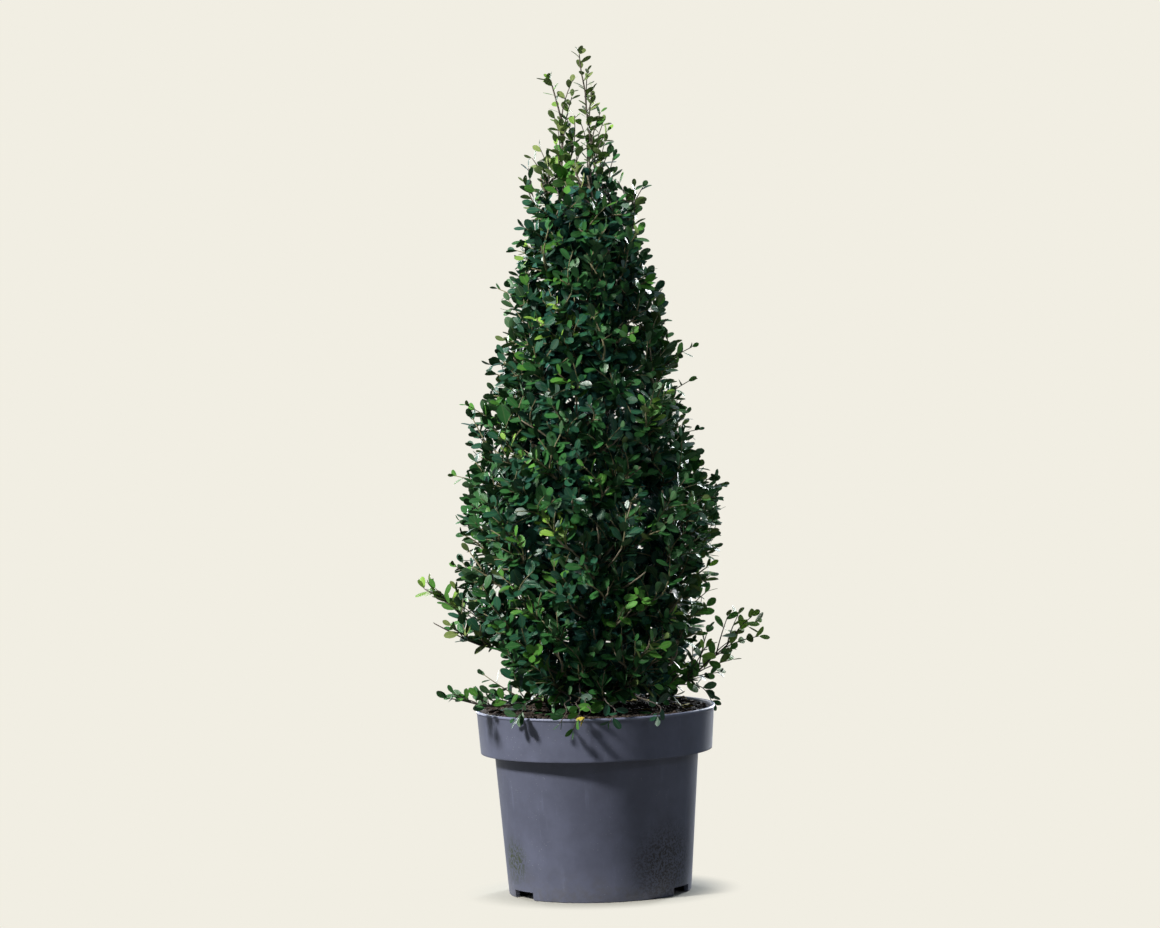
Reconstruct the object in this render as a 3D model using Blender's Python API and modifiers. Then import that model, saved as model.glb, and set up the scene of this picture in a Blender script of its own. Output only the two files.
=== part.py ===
"""Potted Japanese holly cone: a clipped evergreen shrub with loose new shoots, in a ten litre nursery pot.

Metres, +Z up, front towards -Y. The origin is the centre of the pot's flat underside.
Run it with: blender --background --python part.py

The plant is a main stem that forks into two leaders, boughs, and masses of foliage at their ends.
Each mass is one solid: its stem, the twigs that leave it, their leaves and, where it is clipped, a core.
A mass keeps to the space that lies nearer to its own stem than to any other mass's stem.
"""

import math
import random
from dataclasses import dataclass, field

import bmesh
import bpy
from mathutils import Matrix, Vector
from mathutils.geometry import intersect_point_line

# ---- Driving dimensions, in metres ----

POT_HEIGHT = 0.216
RIM_RADIUS = 0.140
LIP_HEIGHT = 0.0036
LIP_STANDS_OUT = 0.0014
COLLAR_HEIGHT = 0.051
COLLAR_FOOT_RADIUS = 0.1352
LEDGE_ABOVE_COLLAR_FOOT = 0.005
BODY_TOP_RADIUS = 0.1195
BODY_FOOT_RADIUS = 0.1065
WALL = 0.0024
FLOOR = 0.0030
FOOT_RING_WIDTH = 0.0050
CHANNEL_HEIGHT = 0.0095
CENTRE_FOOT_RADIUS = 0.072
NOTCH_WIDTH = 0.038
NOTCH_HEIGHT = 0.0090
NOTCH_AZIMUTHS = (-147.0, -27.0, 93.0)
DRAIN_RADIUS = 0.0055
DRAIN_COUNT = 6
POT_SIDES = 32

# The clear gap between two solids that touch on the real plant.
GAP = 0.0003
SOIL_BELOW_RIM = 0.0090
SOIL_MOUND = 0.0035
SOIL_FLAT_RADIUS = 0.030

PLANT_TOP = 0.985
STEM_BASE_RADIUS = 0.0085
STEM_FORK_RADIUS = 0.0042
STEM_FLARE = 1.65
FLARE_HEIGHT = 0.018
LEADER_RADII = (0.0037, 0.0023)
BOUGH_RADII = (0.0036, 0.0024)
BOUGH_SAG = 0.10
BOUGH_STEP = 0.0105
TIER_STAGGER = 0.030

MASS_STEM_RADII = (0.0026, 0.0013)
MASS_STEM_LEAD = 0.0040
CLIPPED_TWIG_RADIUS = 0.0021
LOOSE_TWIG_RADIUS = 0.0016
TWIG_TAPER = 0.55
TWIG_SAG = 0.10
TWIG_RISE = 0.45
CLIPPED_TWIGS = 108
CORE_SHARE = 0.60
CORE_REACH = 0.12
CORE_STEP = 0.003

LEAF_HALF_WIDTH = 0.27
LEAF_THICKNESS = 0.075
LEAF_SPACING = 0.46
LEAF_FACES_OUT = 0.6
LEAF_ROOT_DEPTH = 0.0008

# How far each thing that grows stays inside its mass's own space, and clear of a limb's surface.
LEAF_MARGINS = (0.0008, 0.0045)
TWIG_MARGINS = (0.0015, 0.0030)
CORE_MARGINS = (0.0022, 0.0060)
RIM_CLEARANCE = 0.0020
OUTLINE_TOLERANCE = 0.006

UP = Vector((0.0, 0.0, 1.0))
GOLDEN_ANGLE = math.pi * (3.0 - math.sqrt(5.0))

# The crown's radius at a height: the clipped cone, from the rim of the pot to where the loose tips begin.
CROWN_OUTLINE = (
    (0.222, 0.108),
    (0.260, 0.122),
    (0.310, 0.145),
    (0.370, 0.153),
    (0.470, 0.151),
    (0.550, 0.133),
    (0.650, 0.108),
    (0.740, 0.087),
    (0.800, 0.073),
    (0.840, 0.052),
    (0.870, 0.034),
)

# The centre lines of the main stem above its upright foot, and of the two leaders above its fork.
STEM_ROUTE = (
    (0.000, 0.000, 0.2150),
    (0.006, 0.002, 0.2850),
    (0.016, 0.004, 0.3600),
    (0.028, -0.003, 0.4400),
    (0.022, 0.003, 0.5300),
    (0.016, 0.000, 0.6000),
)
RIGHT_LEADER_ROUTE = ((0.030, 0.001, 0.660), (0.035, 0.000, 0.740), (0.034, 0.000, 0.805))
LEFT_LEADER_ROUTE = ((-0.004, 0.001, 0.660), (-0.014, 0.000, 0.740), (-0.018, 0.000, 0.800))


@dataclass
class Mass:
    """A mass of foliage: its stem runs from start to tip, and its bough leaves a limb at bough_height."""

    name: str
    limb: str
    start: Vector
    tip: Vector
    bow: float
    leaf: float
    bough_height: float = 0.0
    clipped: bool = True
    twigs: int = 0
    spread: float = 0.0
    targets: list = field(default_factory=list)

    @property
    def bough(self):
        return "bough_" + self.name.split("_", 1)[1]

    @property
    def starts_inside_limb(self):
        return self.clipped and not self.bough_height


def polar(azimuth, radius, height):
    """The point at this azimuth in degrees, 0 at +X and -90 at the front."""
    angle = math.radians(azimuth)
    return Vector((radius * math.cos(angle), radius * math.sin(angle), height))


def tier(name, azimuths, bough_height, inner, outer, bow, leaf):
    """Clipped masses round the crown, each rising from its inner (radius, height) to its outer one."""
    made = []
    for index, azimuth in enumerate(azimuths):
        stagger = UP * (TIER_STAGGER * (index % 2))
        made.append(
            Mass(
                name=f"foliage_{name}_{index + 1}",
                limb="main_stem",
                start=polar(azimuth, *inner) + stagger,
                tip=polar(azimuth, *outer) + stagger,
                bow=bow,
                leaf=leaf,
                bough_height=bough_height + BOUGH_STEP * index,
            )
        )
    return made


def skirt(azimuths):
    """Small clipped masses low over the pot, below the first tier."""
    made = []
    for index, azimuth in enumerate(azimuths):
        made.append(
            Mass(
                name=f"foliage_skirt_{index + 1}",
                limb="main_stem",
                start=polar(azimuth, 0.048, 0.238),
                tip=polar(azimuth, 0.092, 0.262),
                bow=0.004,
                leaf=0.030,
                bough_height=0.2230 + 0.004 * (index % 2),
            )
        )
    return made


def top_mass(name, limb, height, tip):
    """A small clipped mass at the cone's top, whose stem leaves one of the two leaders at this height."""
    start = at_height(limb_routes()[limb][0], height)
    return Mass(f"foliage_top_{name}", limb, start, Vector(tip), bow=-0.006, leaf=0.031)


def spray(name, azimuth, inner, outer, bough_height, leaf, twigs, spread):
    """A loose low branch that reaches out past the clipped cone, with leaves all along it."""
    return Mass(
        name=f"spray_{name}",
        limb="main_stem",
        start=polar(azimuth, *inner),
        tip=polar(azimuth, *outer),
        bow=0.006,
        leaf=leaf,
        bough_height=bough_height,
        clipped=False,
        twigs=twigs,
        spread=spread,
    )


def loose_tip(name, limb, tip, twigs, spread):
    """A loose tip that carries one of the two leaders on above the clipped cone."""
    start = limb_routes()[limb][0][-1]
    mass = Mass(f"tip_{name}", limb, start, Vector(tip), bow=0.002, leaf=0.024)
    mass.clipped, mass.twigs, mass.spread = False, twigs, spread
    return mass


def masses_of_the_plant():
    """Every mass of foliage, from the rim of the pot up to the tips."""
    return [
        spray("left_high", 178.0, (0.060, 0.262), (0.180, 0.350), 0.2370, 0.026, twigs=7, spread=0.040),
        spray("left_low", 196.0, (0.058, 0.238), (0.166, 0.300), 0.2270, 0.026, twigs=5, spread=0.032),
        spray("left_rim", 214.0, (0.070, 0.2285), (0.178, 0.2380), 0.2175, 0.024, twigs=5, spread=0.026),
        spray("right", 4.0, (0.062, 0.240), (0.172, 0.305), 0.2280, 0.026, twigs=8, spread=0.042),
        spray("back_right", 56.0, (0.060, 0.240), (0.158, 0.290), 0.2230, 0.028, twigs=4, spread=0.034),
        spray("back_left", 132.0, (0.060, 0.236), (0.160, 0.284), 0.2220, 0.028, twigs=4, spread=0.034),
        *skirt((-112.0, -62.0, -20.0, 94.0)),
        *tier("lower", (-84, -12, 60, 132, 204), 0.244, (0.048, 0.288), (0.098, 0.395), 0.010, 0.042),
        *tier("middle", (-100, -10, 80, 170), 0.385, (0.052, 0.430), (0.082, 0.555), 0.006, 0.041),
        *tier("upper", (-70, 50, 170), 0.530, (0.042, 0.582), (0.054, 0.690), 0.004, 0.036),
        top_mass("left", "leader_left", 0.705, (-0.046, 0.000, 0.835)),
        top_mass("right", "leader_right", 0.710, (0.062, 0.002, 0.812)),
        top_mass("front", "leader_right", 0.725, (0.008, -0.038, 0.835)),
        top_mass("back", "leader_left", 0.720, (0.008, 0.040, 0.830)),
        loose_tip("main", "leader_right", (0.0035, 0.0, 0.974), twigs=9, spread=0.036),
        loose_tip("left", "leader_left", (-0.035, -0.003, 0.936), twigs=6, spread=0.030),
    ]


# ---- Curves and distances ----


def smooth_route(points, steps):
    """A smooth curve through the points, with this many steps between each two."""
    points = [Vector(p) for p in points]
    padded = [points[0], *points, points[-1]]
    route = []
    for before, here, after, beyond in zip(padded, padded[1:], padded[2:], padded[3:]):
        for step in range(steps):
            t = step / steps
            route.append(
                0.5
                * (
                    2 * here
                    + (after - before) * t
                    + (2 * before - 5 * here + 4 * after - beyond) * t**2
                    + (3 * here - 3 * after + beyond - before) * t**3
                )
            )
    return [*route, points[-1]]


def bowed_route(start, end, bow, steps):
    """A limb's route from start to end, whose middle lies bow above the straight line."""
    shares = [step / steps for step in range(steps + 1)]
    return [start.lerp(end, t) + UP * (bow * 4.0 * t * (1.0 - t)) for t in shares]


def along(route, share):
    """The point at this share of the route's steps."""
    place = min(max(share, 0.0), 1.0) * (len(route) - 1)
    index = min(int(place), len(route) - 2)
    return route[index].lerp(route[index + 1], place - index)


def at_height(route, height):
    """The point where a rising route passes this height."""
    for low, high in zip(route, route[1:]):
        if low.z <= height <= high.z:
            return low.lerp(high, (height - low.z) / (high.z - low.z))
    return route[-1].copy()


def distance_to(route, point):
    """The distance from a point to a route."""
    best = math.inf
    for a, b in zip(route, route[1:]):
        foot, share = intersect_point_line(point, a, b)
        if share < 0.0:
            foot = a
        elif share > 1.0:
            foot = b
        best = min(best, (point - foot).length)
    return best


def crown_radius(point):
    """The clipped cone's radius at a point's height and azimuth: a little lumpy, as new growth leaves it."""
    height = min(max(point.z, CROWN_OUTLINE[0][0]), CROWN_OUTLINE[-1][0])
    for (low, low_radius), (high, high_radius) in zip(CROWN_OUTLINE, CROWN_OUTLINE[1:]):
        if low <= height <= high:
            radius = low_radius + (high_radius - low_radius) * (height - low) / (high - low)
            break
    azimuth = math.atan2(point.y, point.x)
    wide_lumps = 0.030 * math.sin(3.0 * azimuth + 31.0 * height)
    small_lumps = 0.022 * math.sin(5.0 * azimuth - 47.0 * height + 1.0)
    return radius * (1.0 + wide_lumps + small_lumps)


# ---- Blender objects ----


def material(name, colour, roughness):
    made = bpy.data.materials.new(name)
    made.use_nodes = True
    shader = made.node_tree.nodes["Principled BSDF"]
    shader.inputs["Base Color"].default_value = (*colour, 1.0)
    shader.inputs["Roughness"].default_value = roughness
    made.diffuse_color = (*colour, 1.0)
    return made


def dress(obj, finish):
    obj.data.materials.clear()
    obj.data.materials.append(finish)


def collection(name):
    made = bpy.data.collections.new(name)
    bpy.context.scene.collection.children.link(made)
    return made


def keep_as_helper(obj):
    """A cutter or a guide isn't part of the object."""
    obj.hide_render = True
    obj.display_type = "WIRE"
    return obj


def applied(obj, name, holder):
    """A new mesh object that holds obj as its modifiers leave it, and obj is removed."""
    bpy.context.view_layer.update()
    graph = bpy.context.evaluated_depsgraph_get()
    mesh = bpy.data.meshes.new_from_object(obj.evaluated_get(graph), depsgraph=graph)
    mesh.name = name
    place = obj.matrix_world.copy()
    bpy.data.objects.remove(obj)
    made = bpy.data.objects.new(name, mesh)
    made.matrix_world = place
    holder.objects.link(made)
    return made


def weld(mesh, within=1e-6):
    shape = bmesh.new()
    shape.from_mesh(mesh)
    bmesh.ops.remove_doubles(shape, verts=shape.verts, dist=within)
    bmesh.ops.recalc_face_normals(shape, faces=shape.faces)
    shape.to_mesh(mesh)
    shape.free()


def section(name, sides, holder):
    """The flat outline, one metre in radius, that a tube's curve carries along it."""
    data = bpy.data.curves.new(name, "CURVE")
    data.dimensions = "2D"
    spline = data.splines.new("POLY")
    spline.points.add(sides - 1)
    for index, point in enumerate(spline.points):
        angle = math.tau * index / sides
        point.co = (math.cos(angle), math.sin(angle), 0.0, 1.0)
    spline.use_cyclic_u = True
    made = bpy.data.objects.new(name, data)
    holder.objects.link(made)
    return keep_as_helper(made)


def tube(name, route, radii, outline, holder):
    """A closed tapering tube along the route, as a mesh object."""
    data = bpy.data.curves.new(name, "CURVE")
    data.dimensions = "3D"
    data.bevel_mode = "OBJECT"
    data.bevel_object = outline
    data.use_fill_caps = True
    spline = data.splines.new("POLY")
    spline.points.add(len(route) - 1)
    for point, place, radius in zip(spline.points, route, radii):
        point.co = (*place, 1.0)
        point.radius = radius
    curve = bpy.data.objects.new(name + "_curve", data)
    holder.objects.link(curve)
    made = applied(curve, name, holder)
    weld(made.data)
    return made


def tapered(first, last, count):
    return [first + (last - first) * index / (count - 1) for index in range(count)]


def boolean(obj, operation, other, name, holder, solver="EXACT"):
    """obj joined to, or cut by, another object or a whole collection, as a new mesh object."""
    modifier = obj.modifiers.new(operation.lower(), "BOOLEAN")
    modifier.operation = operation
    if isinstance(other, bpy.types.Collection):
        modifier.operand_type = "COLLECTION"
        modifier.collection = other
    else:
        modifier.object = other
    modifier.solver = solver
    return applied(obj, name, holder)


def keep_largest_shell(mesh):
    """Fills the hollows that a union seals and drops loose scraps: only the largest shell stays."""
    shape = bmesh.new()
    shape.from_mesh(mesh)
    unseen = set(shape.faces)
    shells = []
    while unseen:
        shell = []
        edge_of_shell = [unseen.pop()]
        while edge_of_shell:
            face = edge_of_shell.pop()
            shell.append(face)
            for edge in face.edges:
                for neighbour in edge.link_faces:
                    if neighbour in unseen:
                        unseen.remove(neighbour)
                        edge_of_shell.append(neighbour)
        shells.append(shell)
    shells.sort(key=len)
    for shell in shells[:-1]:
        bmesh.ops.delete(shape, geom=shell, context="FACES")
    shape.to_mesh(mesh)
    shape.free()


def move_to_helpers(obj, helpers):
    for holder in obj.users_collection:
        holder.objects.unlink(obj)
    helpers.objects.link(obj)
    keep_as_helper(obj)


# ---- Pot and soil ----


def turned(name, profile, holder):
    """A solid of revolution, from (radius, height) points that run down its outer side."""
    count = len(profile)
    sides = [(index, (index + 1) % count) for index in range(count)]
    edges = [(a, b) for a, b in sides if profile[a][0] > 0.0 or profile[b][0] > 0.0]
    mesh = bpy.data.meshes.new(name)
    mesh.from_pydata([(radius, 0.0, height) for radius, height in profile], edges, [])
    made = bpy.data.objects.new(name, mesh)
    holder.objects.link(made)
    screw = made.modifiers.new("turn", "SCREW")
    screw.steps = POT_SIDES
    screw.render_steps = POT_SIDES
    screw.use_merge_vertices = True
    screw.merge_threshold = 0.00001
    solid = applied(made, name, holder)
    weld(solid.data)
    return solid


def collar_foot():
    return POT_HEIGHT - COLLAR_HEIGHT


def ledge_height():
    """The underside of the ledge that joins the collar to the body, up inside the collar's skirt."""
    return collar_foot() + LEDGE_ABOVE_COLLAR_FOOT


def outer_side():
    """The pot's outside, down to its underside's middle, as (radius, height)."""
    ring_inside = BODY_FOOT_RADIUS - FOOT_RING_WIDTH
    return [
        (RIM_RADIUS, POT_HEIGHT),
        (RIM_RADIUS, POT_HEIGHT - LIP_HEIGHT),
        (RIM_RADIUS - LIP_STANDS_OUT, POT_HEIGHT - LIP_HEIGHT),
        (COLLAR_FOOT_RADIUS, collar_foot()),
        (COLLAR_FOOT_RADIUS - WALL, collar_foot()),
        (COLLAR_FOOT_RADIUS - WALL, ledge_height()),
        (BODY_TOP_RADIUS, ledge_height()),
        (BODY_FOOT_RADIUS, 0.0),
        (ring_inside, 0.0),
        (ring_inside, CHANNEL_HEIGHT),
        (CENTRE_FOOT_RADIUS, CHANNEL_HEIGHT),
        (CENTRE_FOOT_RADIUS, 0.0),
        (0.0, 0.0),
    ]


def inner_side():
    """The pot's inside, down to its floor's middle, as (radius, height)."""
    channel_floor = CHANNEL_HEIGHT + FLOOR
    return [
        (RIM_RADIUS - LIP_STANDS_OUT - WALL, POT_HEIGHT),
        (COLLAR_FOOT_RADIUS - WALL, ledge_height() + WALL),
        (BODY_TOP_RADIUS - WALL, ledge_height() + WALL),
        (BODY_FOOT_RADIUS - WALL, channel_floor),
        (CENTRE_FOOT_RADIUS - WALL, channel_floor),
        (CENTRE_FOOT_RADIUS - WALL, FLOOR),
        (0.0, FLOOR),
    ]


def make_pot(holder, cutters):
    """The pot: a collar with a lip, a tapering body, a foot ring with drain notches, and drain holes."""
    pot = turned("pot_blank", outer_side() + inner_side()[::-1], holder)
    for index, azimuth in enumerate(NOTCH_AZIMUTHS):
        bpy.ops.mesh.primitive_cube_add(size=1.0, location=polar(azimuth, BODY_FOOT_RADIUS, 0.0))
        notch = bpy.context.object
        notch.name = f"notch_cutter_{index + 1}"
        notch.scale = (4.0 * FOOT_RING_WIDTH, NOTCH_WIDTH, 2.0 * NOTCH_HEIGHT)
        notch.rotation_euler.z = math.radians(azimuth)
        move_to_helpers(notch, cutters)
    channel_middle = 0.5 * (CENTRE_FOOT_RADIUS + BODY_FOOT_RADIUS - FOOT_RING_WIDTH)
    for index in range(DRAIN_COUNT):
        azimuth = NOTCH_AZIMUTHS[0] + index * 360.0 / DRAIN_COUNT
        place = polar(azimuth, channel_middle, CHANNEL_HEIGHT + 0.5 * FLOOR)
        depth = 4.0 * FLOOR
        bpy.ops.mesh.primitive_cylinder_add(vertices=8, radius=DRAIN_RADIUS, depth=depth, location=place)
        drain = bpy.context.object
        drain.name = f"drain_cutter_{index + 1}"
        move_to_helpers(drain, cutters)
    return boolean(pot, "DIFFERENCE", cutters, "pot", holder)


def make_soil(holder):
    """The potting soil: it fills the pot down to its raised floor, and is mounded a little round the stem."""
    edge_height = POT_HEIGHT - SOIL_BELOW_RIM
    (lip_radius, lip_height), (ledge_radius, ledge) = inner_side()[:2]
    edge_radius = lip_radius + (ledge_radius - lip_radius) * SOIL_BELOW_RIM / (lip_height - ledge)
    below = [(radius - GAP, height + GAP) for radius, height in inner_side()[1:4]]
    profile = [
        (0.0, soil_top()),
        (SOIL_FLAT_RADIUS, soil_top()),
        (edge_radius - GAP, edge_height),
        *below,
        (0.0, below[-1][1]),
    ]
    return turned("potting_soil", profile, holder)


# ---- Stem, leaders and boughs ----


def soil_top():
    return POT_HEIGHT - SOIL_BELOW_RIM + SOIL_MOUND


def stem_radius(height):
    """The main stem's radius: an even taper, with a flare at the soil."""
    low, high = soil_top(), STEM_ROUTE[-1][2]
    share = (height - low) / (high - low)
    flare = 1.0 + (STEM_FLARE - 1.0) * math.exp(-(height - low) / FLARE_HEIGHT)
    return (STEM_BASE_RADIUS + (STEM_FORK_RADIUS - STEM_BASE_RADIUS) * share) * flare


def limb_routes():
    """The main stem and its two leaders, as name: (route, radii)."""
    stem = [Vector((0.0, 0.0, soil_top() + GAP)), *smooth_route(STEM_ROUTE, 3)]
    right = smooth_route([STEM_ROUTE[-1], *RIGHT_LEADER_ROUTE], 3)
    left = smooth_route([STEM_ROUTE[-1], *LEFT_LEADER_ROUTE], 3)
    return {
        "main_stem": (stem, [stem_radius(point.z) for point in stem]),
        "leader_right": (right, tapered(*LEADER_RADII, len(right))),
        "leader_left": (left, tapered(*LEADER_RADII, len(left))),
    }


def make_cutter(name, route, radii, outline, cutters):
    """The limb again, a little thicker and longer, to cut its neighbours clear of it."""
    wider = [radius + 1.3 * GAP for radius in radii]
    start = route[0] - (route[1] - route[0]).normalized() * GAP
    end = route[-1] + (route[-1] - route[-2]).normalized() * GAP
    return keep_as_helper(tube(name + "_cutter", [start, *route[1:-1], end], wider, outline, cutters))


def cut_clear(obj, cutter, holder):
    """obj without what lies inside the cutter: its own piece stays, and any scrap beyond it goes."""
    clear = boolean(obj, "DIFFERENCE", cutter, obj.name, holder)
    keep_largest_shell(clear.data)
    return clear


def make_limbs(masses, sections, holder, cutters):
    """The stem, the leaders and every bough, each cut clear of the limb that it grows from."""
    routes = limb_routes()
    made = []
    cutter_of = {}
    for name, (route, radii) in routes.items():
        limb = tube(name, route, radii, sections["stem"], holder)
        for earlier in cutter_of.values():
            limb = cut_clear(limb, earlier, holder)
        cutter_of[name] = make_cutter(name, route, radii, sections["stem"], cutters)
        made.append(limb)
    for mass in masses:
        if not mass.bough_height:
            continue
        root = at_height(routes[mass.limb][0], mass.bough_height)
        route = bowed_route(root, mass.start, -BOUGH_SAG * (mass.start - root).length, 2)
        radii = tapered(*BOUGH_RADII, len(route))
        bough = tube(mass.bough, route, radii, sections["bough"], holder)
        made.append(cut_clear(bough, cutter_of[mass.limb], holder))
        make_cutter(mass.bough, route, radii, sections["bough"], cutters)
        routes[mass.bough] = (route, radii)
    return made, routes, cutter_of


# ---- Foliage ----


def leaf_points(length):
    """A leaf's root, tip and sides: an oval blade along +X, with its sides lifted off its keel."""
    wide, lifted = length * LEAF_HALF_WIDTH, length * LEAF_THICKNESS
    half = [(0.36 * length, wide), (0.76 * length, 0.86 * wide)]
    sides = [Vector((x, y * side, lifted)) for side in (1.0, -1.0) for x, y in half]
    return [Vector(), Vector((length, 0.0, 0.0)), *sides]


def leaf_mesh(length):
    """The solid leaf: the hull of its outline, eight faces."""
    shape = bmesh.new()
    for point in leaf_points(length):
        shape.verts.new(point)
    bmesh.ops.convex_hull(shape, input=shape.verts)
    bmesh.ops.triangulate(shape, faces=shape.faces)
    bmesh.ops.recalc_face_normals(shape, faces=shape.faces)
    mesh = bpy.data.meshes.new("leaf")
    shape.to_mesh(mesh)
    shape.free()
    return mesh


def leaf_frame(root, direction, face):
    """The matrix that stands a leaf at root, along direction, with its upper side towards face."""
    along_leaf = direction.normalized()
    across = face.cross(along_leaf).normalized()
    turn = Matrix((along_leaf, across, along_leaf.cross(across))).transposed()
    return Matrix.Translation(root) @ turn.to_4x4()


class Space:
    """Where foliage may grow: each mass keeps to its own share, clear of the limbs and the pot."""

    def __init__(self, masses, routes):
        self.stems = {mass.name: bowed_route(mass.start, mass.tip, mass.bow, 3) for mass in masses}
        self.limbs = [(route, max(radii)) for route, radii in routes.values()]

    def is_free(self, mass, points, margins):
        """Whether every point lies inside the mass's own space and clear of every limb."""
        inside, clearance = margins
        for point in points:
            if not POT_HEIGHT + RIM_CLEARANCE < point.z < PLANT_TOP:
                return False
            own = distance_to(self.stems[mass.name], point)
            others = (stem for name, stem in self.stems.items() if name != mass.name)
            if any(distance_to(stem, point) < own + 2.0 * inside for stem in others):
                return False
            if any(distance_to(route, point) < radius + clearance for route, radius in self.limbs):
                return False
        return True


def share_out_clipped_twigs(masses, space):
    """Twig tips spread over the clipped cone by the golden angle, each given to the nearest clipped mass."""
    clipped = [mass for mass in masses if mass.clipped]
    low, high = CROWN_OUTLINE[0][0] + 0.012, CROWN_OUTLINE[-1][0] - 0.004
    rings = [low + (high - low) * (ring + 0.5) / 60 for ring in range(60)]
    weights = [0.02 + crown_radius(UP * height) for height in rings]
    placed, due = 0, 0.0
    for height, weight in zip(rings, weights):
        due += CLIPPED_TWIGS * weight / sum(weights)
        while placed + 0.5 < due:
            outward = Vector((math.cos(placed * GOLDEN_ANGLE), math.sin(placed * GOLDEN_ANGLE), 0.0))
            place = outward + UP * height
            place = outward * crown_radius(place) + UP * height
            nearest = min(clipped, key=lambda mass: distance_to(space.stems[mass.name], place))
            nearest.targets.append(place)
            placed += 1


def set_out_loose_twigs(mass, space, rng):
    """Twig tips round a loose stem by the golden angle, wide at its foot and closing towards its tip."""
    stem = space.stems[mass.name]
    axis = (stem[-1] - stem[0]).normalized()
    side = axis.orthogonal().normalized()
    for index in range(mass.twigs):
        share = (index + 0.6) / mass.twigs
        width = mass.spread * (1.0 - 0.80 * share) * rng.uniform(0.85, 1.1)
        around = Matrix.Rotation(index * GOLDEN_ANGLE, 3, axis) @ side
        mass.targets.append(along(stem, share + 0.16) + around * width + axis * (0.35 * width))
    mass.targets.append(stem[-1] + axis * 0.001)


def clipped_twig(mass, stem, target, leaf):
    """The foot and end of a twig that rises to the clipped outline, a leaf's length short of the target."""
    out = Vector((target.x, target.y, 0.0)).normalized()
    end = target - (out * 0.72 + UP * 0.30) * leaf
    foot_height = end.z - TWIG_RISE * (end - stem[1]).xy.length
    share = (foot_height - stem[0].z) / (stem[-1].z - stem[0].z)
    return along(stem, min(max(share, 0.10), 0.90)), end


def loose_twig(stem, target):
    """The foot and end of a twig that leaves a loose stem a little before the point nearest its target."""
    shares = [step / 24 for step in range(25)]
    nearest = min(shares, key=lambda share: (along(stem, share) - target).length)
    return along(stem, min(max(nearest - 0.16, 0.04), 0.96)), target


def grow_twig(mass, space, target, sections, pieces, rng):
    """One twig from the mass's stem towards its target, and the leaves along its outer part."""
    stem = space.stems[mass.name]
    leaf = mass.leaf * rng.uniform(0.88, 1.08)
    foot, end = clipped_twig(mass, stem, target, leaf) if mass.clipped else loose_twig(stem, target)
    length = (end - foot).length
    route = bowed_route(foot, end, -TWIG_SAG * length, 2 if mass.clipped else 1)
    if length < 0.3 * leaf or not space.is_free(mass, route[1:], TWIG_MARGINS):
        return
    thick = CLIPPED_TWIG_RADIUS if mass.clipped else LOOSE_TWIG_RADIUS
    tube("twig", route, tapered(thick, TWIG_TAPER * thick, len(route)), sections["twig"], pieces)
    out = Vector((target.x, target.y, 0.0)).normalized()
    axis = (route[-1] - route[-2]).normalized()
    first_turn = rng.uniform(0.0, math.tau)
    spacing = LEAF_SPACING * leaf
    side_leaves = min(int(length / spacing), 4 if mass.clipped else 2)
    for index in range(side_leaves + 1):
        if mass.clipped:
            across = UP.cross(out) * (1.0 if index % 2 else -1.0)
            side = across + out * rng.uniform(0.1, 0.5) + UP * rng.uniform(-0.5, 0.4)
        else:
            side = Matrix.Rotation(first_turn + index * GOLDEN_ANGLE, 3, axis) @ axis.orthogonal()
        side = (side - axis * side.dot(axis)).normalized()
        # The last leaf carries the twig on, and the others stand off its sides.
        direction = axis * 0.62 + side * 0.80 if index else axis + side * 0.25
        root = along(route, 1.0 - index * spacing / length) if index else end - axis * LEAF_ROOT_DEPTH
        face = axis.cross(side)
        if face.dot(out + UP) < 0.0:
            face = -face
        frame = leaf_frame(root, direction, face + out * LEAF_FACES_OUT)
        place_leaf(mass, space, frame, leaf * rng.uniform(0.9, 1.05), pieces)


def place_leaf(mass, space, frame, length, pieces):
    """A leaf, unless it would leave the mass's space or touch a limb."""
    root, tip, *sides = [frame @ point for point in leaf_points(length)]
    middles = [(root + tip) * 0.5, (sides[0] + sides[1]) * 0.5, (sides[2] + sides[3]) * 0.5]
    points = [tip, *sides, *middles]
    stands_out = any(point.xy.length > crown_radius(point) + OUTLINE_TOLERANCE for point in points)
    if mass.clipped and stands_out or not space.is_free(mass, points, LEAF_MARGINS):
        return
    leaf = bpy.data.objects.new("leaf", leaf_mesh(length))
    leaf.matrix_world = frame
    pieces.objects.link(leaf)


def make_core(mass, space, cutters, pieces):
    """The dense middle of a clipped mass: a ball pushed out until it nears the leaves or another mass."""
    centre = along(space.stems[mass.name], 0.5)
    bpy.ops.mesh.primitive_ico_sphere_add(subdivisions=2, radius=1.0, location=centre)
    core = bpy.context.object
    core.name = mass.name + "_core"
    for vertex in core.data.vertices:
        direction = vertex.co.normalized()
        reach = CORE_STEP
        while reach < CORE_REACH:
            point = centre + direction * (reach + CORE_STEP)
            near_leaves = point.xy.length > CORE_SHARE * crown_radius(point)
            if near_leaves or not space.is_free(mass, [point], CORE_MARGINS):
                break
            reach += CORE_STEP
        vertex.co = direction * reach
    move_to_helpers(core, pieces)
    cut_clear(core, cutters, pieces)


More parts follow.
